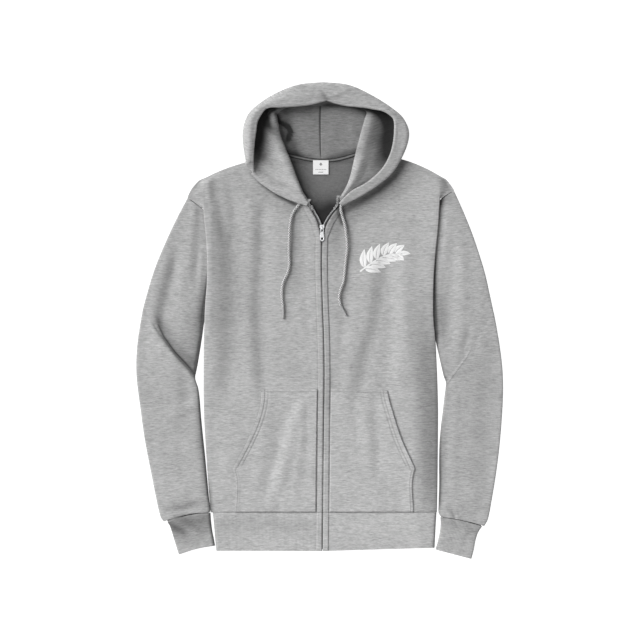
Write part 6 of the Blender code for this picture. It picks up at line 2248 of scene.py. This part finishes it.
@dataclass(frozen=True)
class Drawcord:
    """One free end of the hood's drawcord, lying on the front.

    It bows up off the cloth round `arch_y`, over `arch_reach`, and its mesh has a ring of `sides` points every
    `ring_pitch`.
    """

    front: FrontPanel
    tip_length: float = 23.0
    braid_pitch: float = 4.8
    ring_pitch: float = 0.46
    sides: int = 28
    arch_y: float = 160.0
    arch_reach: float = 36.0

    @property
    def half(self) -> Half:
        """The half that the cord lies on."""
        return self.front.body.half

    def centreline(self, count: int) -> Array:
        """The cord's middle, its radius above the cloth.

        Args:
            count: number of points.

        Returns:
            Points [point, xyz].
        """
        plan = path(CORD_ROUTES[self.half], np.linspace(0, 1, count))
        x, y = plan[:, 0], plan[:, 1]
        spread = [self.front.plain_top(x + dx, y + dy) for dx in (-3, 0, 3) for dy in (-3, 0, 3)]
        arch = CORD_ARCH * bell((y - self.arch_y) / self.arch_reach)
        return np.column_stack([x, y, np.max(spread, axis=0) + CORD_DIAMETER / 2 + GAP + arch])

    def build(self, wardrobe: Wardrobe) -> bpy.types.Object:
        """The braided cord with its dipped end.

        The surface is a circle carried along the centreline. Its radius rises where a yarn of one of the two
        slanted sets crosses over the other: cos of (run / pitch + angle) and of (run / pitch - angle), each
        over the other in turn.
        """
        coarse = self.centreline(60)
        run = reach(coarse)
        total = run[-1]
        at = np.linspace(0, total, int(total / self.ring_pitch))
        line = np.stack([np.interp(at, run, coarse[:, c]) for c in range(3)], axis=1)
        kernel = np.hanning(15)
        kernel /= kernel.sum()
        padded = np.concatenate([np.repeat(line[:1], 7, 0), line, np.repeat(line[-1:], 7, 0)])
        smooth = np.stack([np.convolve(padded[:, c], kernel, "valid") for c in range(3)], axis=1)
        smooth[0], smooth[-1] = line[0], line[-1]
        ahead = unit(np.gradient(smooth, axis=0))
        aside = unit(np.cross(ahead, [0.0, 0.0, 1.0]))
        up = np.cross(aside, ahead)
        turns = np.linspace(0, 2 * np.pi, self.sides + 1)
        angles = turns[:-1]
        turn = 2 * np.pi * at[:, None] / self.braid_pitch
        one, other = np.cos(turn / 2 + 2 * angles), np.cos(turn / 2 - 2 * angles)
        crest = np.maximum(np.abs(one), np.abs(other)) ** 3
        on_tip = ease((at - (total - self.tip_length)) / 2.0)[:, None]
        crest = crest * (1 - on_tip) + 0.4 * on_tip
        close = (np.sqrt(np.clip((total - at) / 1.2, 0, 1))[:, None]
                 * np.sqrt(np.clip(at / 0.8 + 0.3, 0, 1))[:, None])
        radius = CORD_DIAMETER / 2 * (0.90 + 0.14 * crest - 0.13 * on_tip) * (0.12 + 0.88 * close)
        grid = (smooth[:, None] + radius[..., None] * (np.cos(angles)[None, :, None] * aside[:, None]
                                                       + np.sin(angles)[None, :, None] * up[:, None]))
        uv = np.dstack(np.broadcast_arrays(at[:, None], turns * CORD_DIAMETER / 2))
        piece = surface(f"drawcord_end_{self.half.word}", grid, uv, closed=True, flip=True)
        write_values(piece.data, CREST, crest)
        self.cap(piece, len(at))
        dress(piece, Slot.CORD, wardrobe.cord, wardrobe.tip, nodes=(f"drawcord_{self.half.word}",))
        first = int(np.searchsorted(at, total - self.tip_length))
        index = np.zeros(len(piece.data.polygons), np.int32)
        index[first * self.sides:(len(at) - 1) * self.sides] = 1
        piece.data.polygons.foreach_set("material_index", index)
        return piece

    def cap(self, piece: bpy.types.Object, rows: int) -> None:
        """Closes both ends of the cord with a small disc."""
        work = bmesh.new()
        work.from_mesh(piece.data)
        work.verts.ensure_lookup_table()
        work.faces.new([work.verts[k] for k in range(self.sides)])
        work.faces.new([work.verts[(rows - 1) * self.sides + k] for k in range(self.sides)][::-1])
        work.to_mesh(piece.data)
        work.free()


# ---------------------------------------------------------------- seam strips
@dataclass(frozen=True)
class SeamStrip:
    """A narrow strip of the garment's own cloth along a seam: its allowance inside, or the tape over the
    neck seam.

    `line` is its middle in plan and `height` that of its wall's middle. `edge_shade` is the painted shade in
    the grooves along its edges, `plain_shade` that between them, and `fade` the length over which both grow
    from the line's start.
    """

    name: str
    line: tuple[tuple[float, float], ...]
    height: float
    half_width: float
    wall: float
    edge_shade: float
    plain_shade: float
    fade: float = 0.0

    def build(self, wardrobe: Wardrobe) -> bpy.types.Object:
        """The strip's cloth: the line's points moved square to it."""
        line = path(self.line, np.linspace(0, 1, 64))
        ahead = unit(np.gradient(line, axis=0))
        aside = np.stack([-ahead[:, 1], ahead[:, 0]], axis=1)
        across = np.linspace(-1, 1, 13)
        plan = line[:, None] + aside[:, None] * (self.half_width * across)[None, :, None]
        run = reach(line)
        height = self.height + 0.08 * np.sin(run / 4.1)[:, None] + 0 * across[None]
        painted_shade = self.plain_shade + self.edge_shade * bell((1 - np.abs(across)) * self.half_width / 1.7)
        grown = ease((run - 0.4 * self.fade) / self.fade) if self.fade else np.ones_like(run)
        piece = surface(self.name, np.dstack([plan, height]), np.dstack([plan[..., 0], plan[..., 1]]),
                        np.clip(painted_shade[None] * grown[:, None], 0.0, 1.0))
        add_wall(piece, self.wall)
        dress(piece, Slot.FLEECE, wardrobe.hood)
        return piece


# The allowances are painted nearly black, as the shade seen through the seams' gaps; the neck tape's grooves
# are painted shade too.
SEAM_STRIPS = (
    SeamStrip("neck_tape",
              ((-74, 318.6), (-61.8, 315), (-37.5, 308.9), (-13.4, 304.6), (4, 303.4), (22.9, 304.2),
               (47.2, 308.9), (66.6, 315), (80, 319)),
              3.45, 3.4, 0.8, 0.80, 0.58),
    SeamStrip("armhole_allowance_right",
              ((-248.6, 230.2), (-238.0, 222.4), (-224.0, 213.0)),
              3.1, 3.6, 0.6, 0.0, 0.9),
    SeamStrip("armhole_allowance_left",
              ((252.6, 243.6), (244.0, 239.4), (232.0, 231.6)),
              3.1, 3.6, 0.6, 0.0, 0.9),
    SeamStrip("wrist_allowance_right",
              ((-289.4, -381.2), (-270, -374.0), (-250, -369.4), (-230, -365.8), (-212, -365.2)),
              3.75, 4.2, 0.8, 0.0, 0.95, fade=26.0),
    SeamStrip("wrist_allowance_left",
              ((307.0, -388.4), (285, -383.0), (262, -378.4), (246, -375.6), (233.6, -374.6)),
              3.75, 4.2, 0.8, 0.0, 0.95),
)


# ---------------------------------------------------------------- label and print
@dataclass(frozen=True)
class NeckLabel:
    """A woven label with a plain generic pattern, sewn to the inside of the back at the neck seam."""

    left: float = -12.6
    right: float = 17.0
    top: float = 304.0
    foot: float = 277.0
    level: float = 4.6
    thickness: float = 0.6
    lift: float = 0.6
    lift_from: float = 288.0
    half_bar: float = 0.42

    def height(self, x: Array, y: Array) -> Array:
        """Height of the wall's middle: the label lifts a little towards its lower edge."""
        waved = 0.6 + 0.4 * np.cos((x - 2) / 7.0)
        return self.level + self.lift * ease((self.lift_from - y) / 12.0) * waved

    def build(self, wardrobe: Wardrobe) -> None:
        """The label, a small sheet, and its row of stitches."""
        x, y = np.meshgrid(np.linspace(self.left, self.right, 40), np.linspace(self.top, self.foot, 36))
        piece = surface("woven_neck_label", np.dstack([x, y, self.height(x, y)]), np.dstack([x, y]),
                        flip=True)
        add_wall(piece, self.thickness)
        dress(piece, Slot.LABEL, wardrobe.label, nodes=("neck_label",))
        line = np.linspace((self.left + 1.0, self.top - 2.4, self.level + 0.35),
                           (self.right - 1.0, self.top - 2.4, self.level + 0.35), 60)
        threads = rods("label_stitches", stitch_rings(line, 2.4, 0.45))
        dress(threads, Slot.THREAD, wardrobe.label)
        self.weave_marks(wardrobe)

    def weave_marks(self, wardrobe: Wardrobe) -> None:
        """A plain generic pattern on the label: a small lozenge of short bars over a row of dashes."""
        bars = [(2.2 + dx, 296.4 + dy, half) for dx, dy, half in
                ((0, 2.4, 0.7), (0, 1.2, 1.8), (0, 0, 2.9), (0, -1.2, 1.8), (0, -2.4, 0.7))]
        bars += [(-7.0 + 3.1 * k, 286.6, 0.9) for k in range(7)] + [(2.2, 281.4, 4.6)]
        x, y, half = np.array(bars).T
        face = self.height(x, y) + 0.38
        across, up = np.array([(-1, -1), (1, -1), (1, 1), (-1, 1)], float).T
        corner_x, corner_y = np.broadcast_arrays(x[:, None] + across * half[:, None],
                                                 y[:, None] + self.half_bar * up)
        rings = np.stack([np.dstack(np.broadcast_arrays(corner_x, corner_y, (face + z)[:, None]))
                          for z in (-0.03, 0.12)], axis=1)
        dress(rods("label_marks", rings, smooth=False), Slot.LABEL, wardrobe.mark)


@dataclass(frozen=True)
class ChestPrint:
    """A plain sprig of leaves in white print on the left chest."""

    front: FrontPanel
    centre: tuple[float, float] = (118.8, 116.3)
    thickness: float = 0.16
    leaf_shares: tuple[float, ...] = (0.12, 0.28, 0.44, 0.60, 0.76, 0.90)
    leaf_length: float = 35.0
    leaf_width: float = 7.2

    @staticmethod
    def leaf(foot: tuple[float, float], turn: float, length: float, width: float) -> list[Array]:
        """Two halves of a leaf with a bare midrib: half width times sin(pi s) to a power, curved a little.

        Args:
            foot: where the leaf leaves the stem.
            turn: direction in degrees.
            length: its length.
            width: its half width.

        Returns:
            Two grids of points in plan.
        """
        s = np.linspace(0.0, 1.0, 22)[:, None]
        t = np.linspace(0.0, 1.0, 7)[None]
        a = math.radians(turn)
        ahead, aside = np.array([math.cos(a), math.sin(a)]), np.array([-math.sin(a), math.cos(a)])
        halves = []
        for side in (-1.0, 1.0):
            rib = 0.45 * (1 - s)
            edge = rib + width * np.sin(np.pi * s**0.8) ** 0.85 * (1.0 - 0.25 * s)
            offset = side * (rib + (edge - rib) * t) + 0.06 * length * np.sin(np.pi * s)
            halves.append(np.array(foot) + ahead * (s * length)[..., None] + aside * offset[..., None])
        return halves

    def build(self, wardrobe: Wardrobe) -> None:
        """The sprig: a curved stem with leaves in pairs and one at its end, laid on the front's surface."""
        patches = []
        stem_t = np.linspace(0, 1, 60)
        stem = np.column_stack([-42 + 74 * stem_t, -24 + 34 * np.sin(stem_t * 1.7)])
        ahead = unit(np.gradient(stem, axis=0))
        aside = np.stack([-ahead[:, 1], ahead[:, 0]], axis=1)
        wide = 1.5 - 0.8 * stem_t
        patches.append(stem[:, None] + aside[:, None]
                       * (wide[:, None] * np.linspace(-1, 1, 5)[None])[..., None])
        headings = np.degrees(np.arctan2(ahead[:, 1], ahead[:, 0]))
        for k, share in enumerate(self.leaf_shares):
            i = int(share * 59)
            size = self.leaf_length - 2.4 * k
            for side, spread in ((1, 52.0), (-1, -50.0)):
                foot = tuple(stem[i] + aside[i] * side * 1.6)
                turn = headings[i] + spread - 3.0 * side * k
                patches += self.leaf(foot, turn, size * (1.0 if side > 0 else 0.88), self.leaf_width)
        patches += self.leaf(tuple(stem[-1]), headings[-1] + 6, 22.0, 5.0)
        flat, faces, count = [], [], 0
        for patch in patches:
            points = patch.reshape(-1, 2)
            quads = cells(*patch.shape[:2])[2].reshape(-1, 4)[:, [0, 3, 2, 1]]
            first, second, third = points[quads[0, :3]]
            upward = np.cross(second - first, third - first) > 0
            faces.append(count + (quads if upward else quads[:, ::-1]))
            flat.append(points)
            count += len(points)
        flat, faces = np.concatenate(flat) + np.array(self.centre), np.concatenate(faces)
        z = self.front.top(flat[:, 0], flat[:, 1]) + 0.12
        mesh = new_mesh("leaf_sprig_print", np.column_stack([flat, z]), faces.tolist())
        write_weave(mesh, flat[faces])
        piece = show("leaf_sprig_print", mesh)
        add_wall(piece, self.thickness)
        dress(piece, Slot.PRINT, wardrobe.printed)


# ---------------------------------------------------------------- the garment
def sew(name: str, lines: list[Array], wardrobe: Wardrobe, pitch: float = 3.2, thread: float = 0.6) -> None:
    """Topstitching along lines on the cloth, as one piece.

    Args:
        name: the piece's name.
        lines: lines of points on the cloth's surface.
        wardrobe: the finishes.
        pitch: distance from stitch to stitch.
        thread: the thread's width.
    """
    piece = rods(name, np.concatenate([stitch_rings(line, pitch, thread) for line in lines]))
    dress(piece, Slot.THREAD, wardrobe.thread)


def main() -> None:
    """Builds the studio and the garment, cords first, and logs its progress."""
    logging.basicConfig(level=logging.INFO, format="%(message)s")
    studio = Studio()
    studio.place_camera()
    wardrobe = Wardrobe()
    right, left = FrontPanel(RIGHT_BODY), FrontPanel(LEFT_BODY)
    for front in (right, left):
        Drawcord(front).build(wardrobe)
        log.info("drawcord %s", front.body.half.word)
    studio.light()
    studio.lay_floor()
    for strip in SEAM_STRIPS:
        strip.build(wardrobe)
    BackPanel(RIGHT_BODY, LEFT_BODY).build(wardrobe)
    for front in (right, left):
        front.build(wardrobe)
        pocket = PatchPocket(front)
        pocket.build(wardrobe)
        sew(f"topstitch_{front.body.half.word}", front.seam_lines() + pocket.seam_lines(), wardrobe)
        log.info("front and pocket %s", front.body.half.word)
    for sleeve, cuff in zip(SLEEVES, CUFFS):
        sleeve.build(Slot.FLEECE, wardrobe.fleece, wardrobe.inside, "sleeve")
        cuff.build(Slot.RIB, wardrobe.rib, wardrobe.rib, "cuff")
        log.info("sleeve and cuff %s", sleeve.body.half.word)
    Waistband(right, left).build(wardrobe)
    for panel in HOOD_PANELS:
        panel.build(wardrobe)
        log.info("hood %s", panel.half.word)
    fastener = ZipFastener(right, left)
    fastener.build_tape_ends(wardrobe)
    fastener.build_tapes(wardrobe)
    fastener.build_teeth(wardrobe)
    fastener.build_stops(wardrobe)
    fastener.build_slider(wardrobe)
    NeckLabel().build(wardrobe)
    ChestPrint(left).build(wardrobe)
    log.info("garment done")


if __name__ == "__main__":
    main()
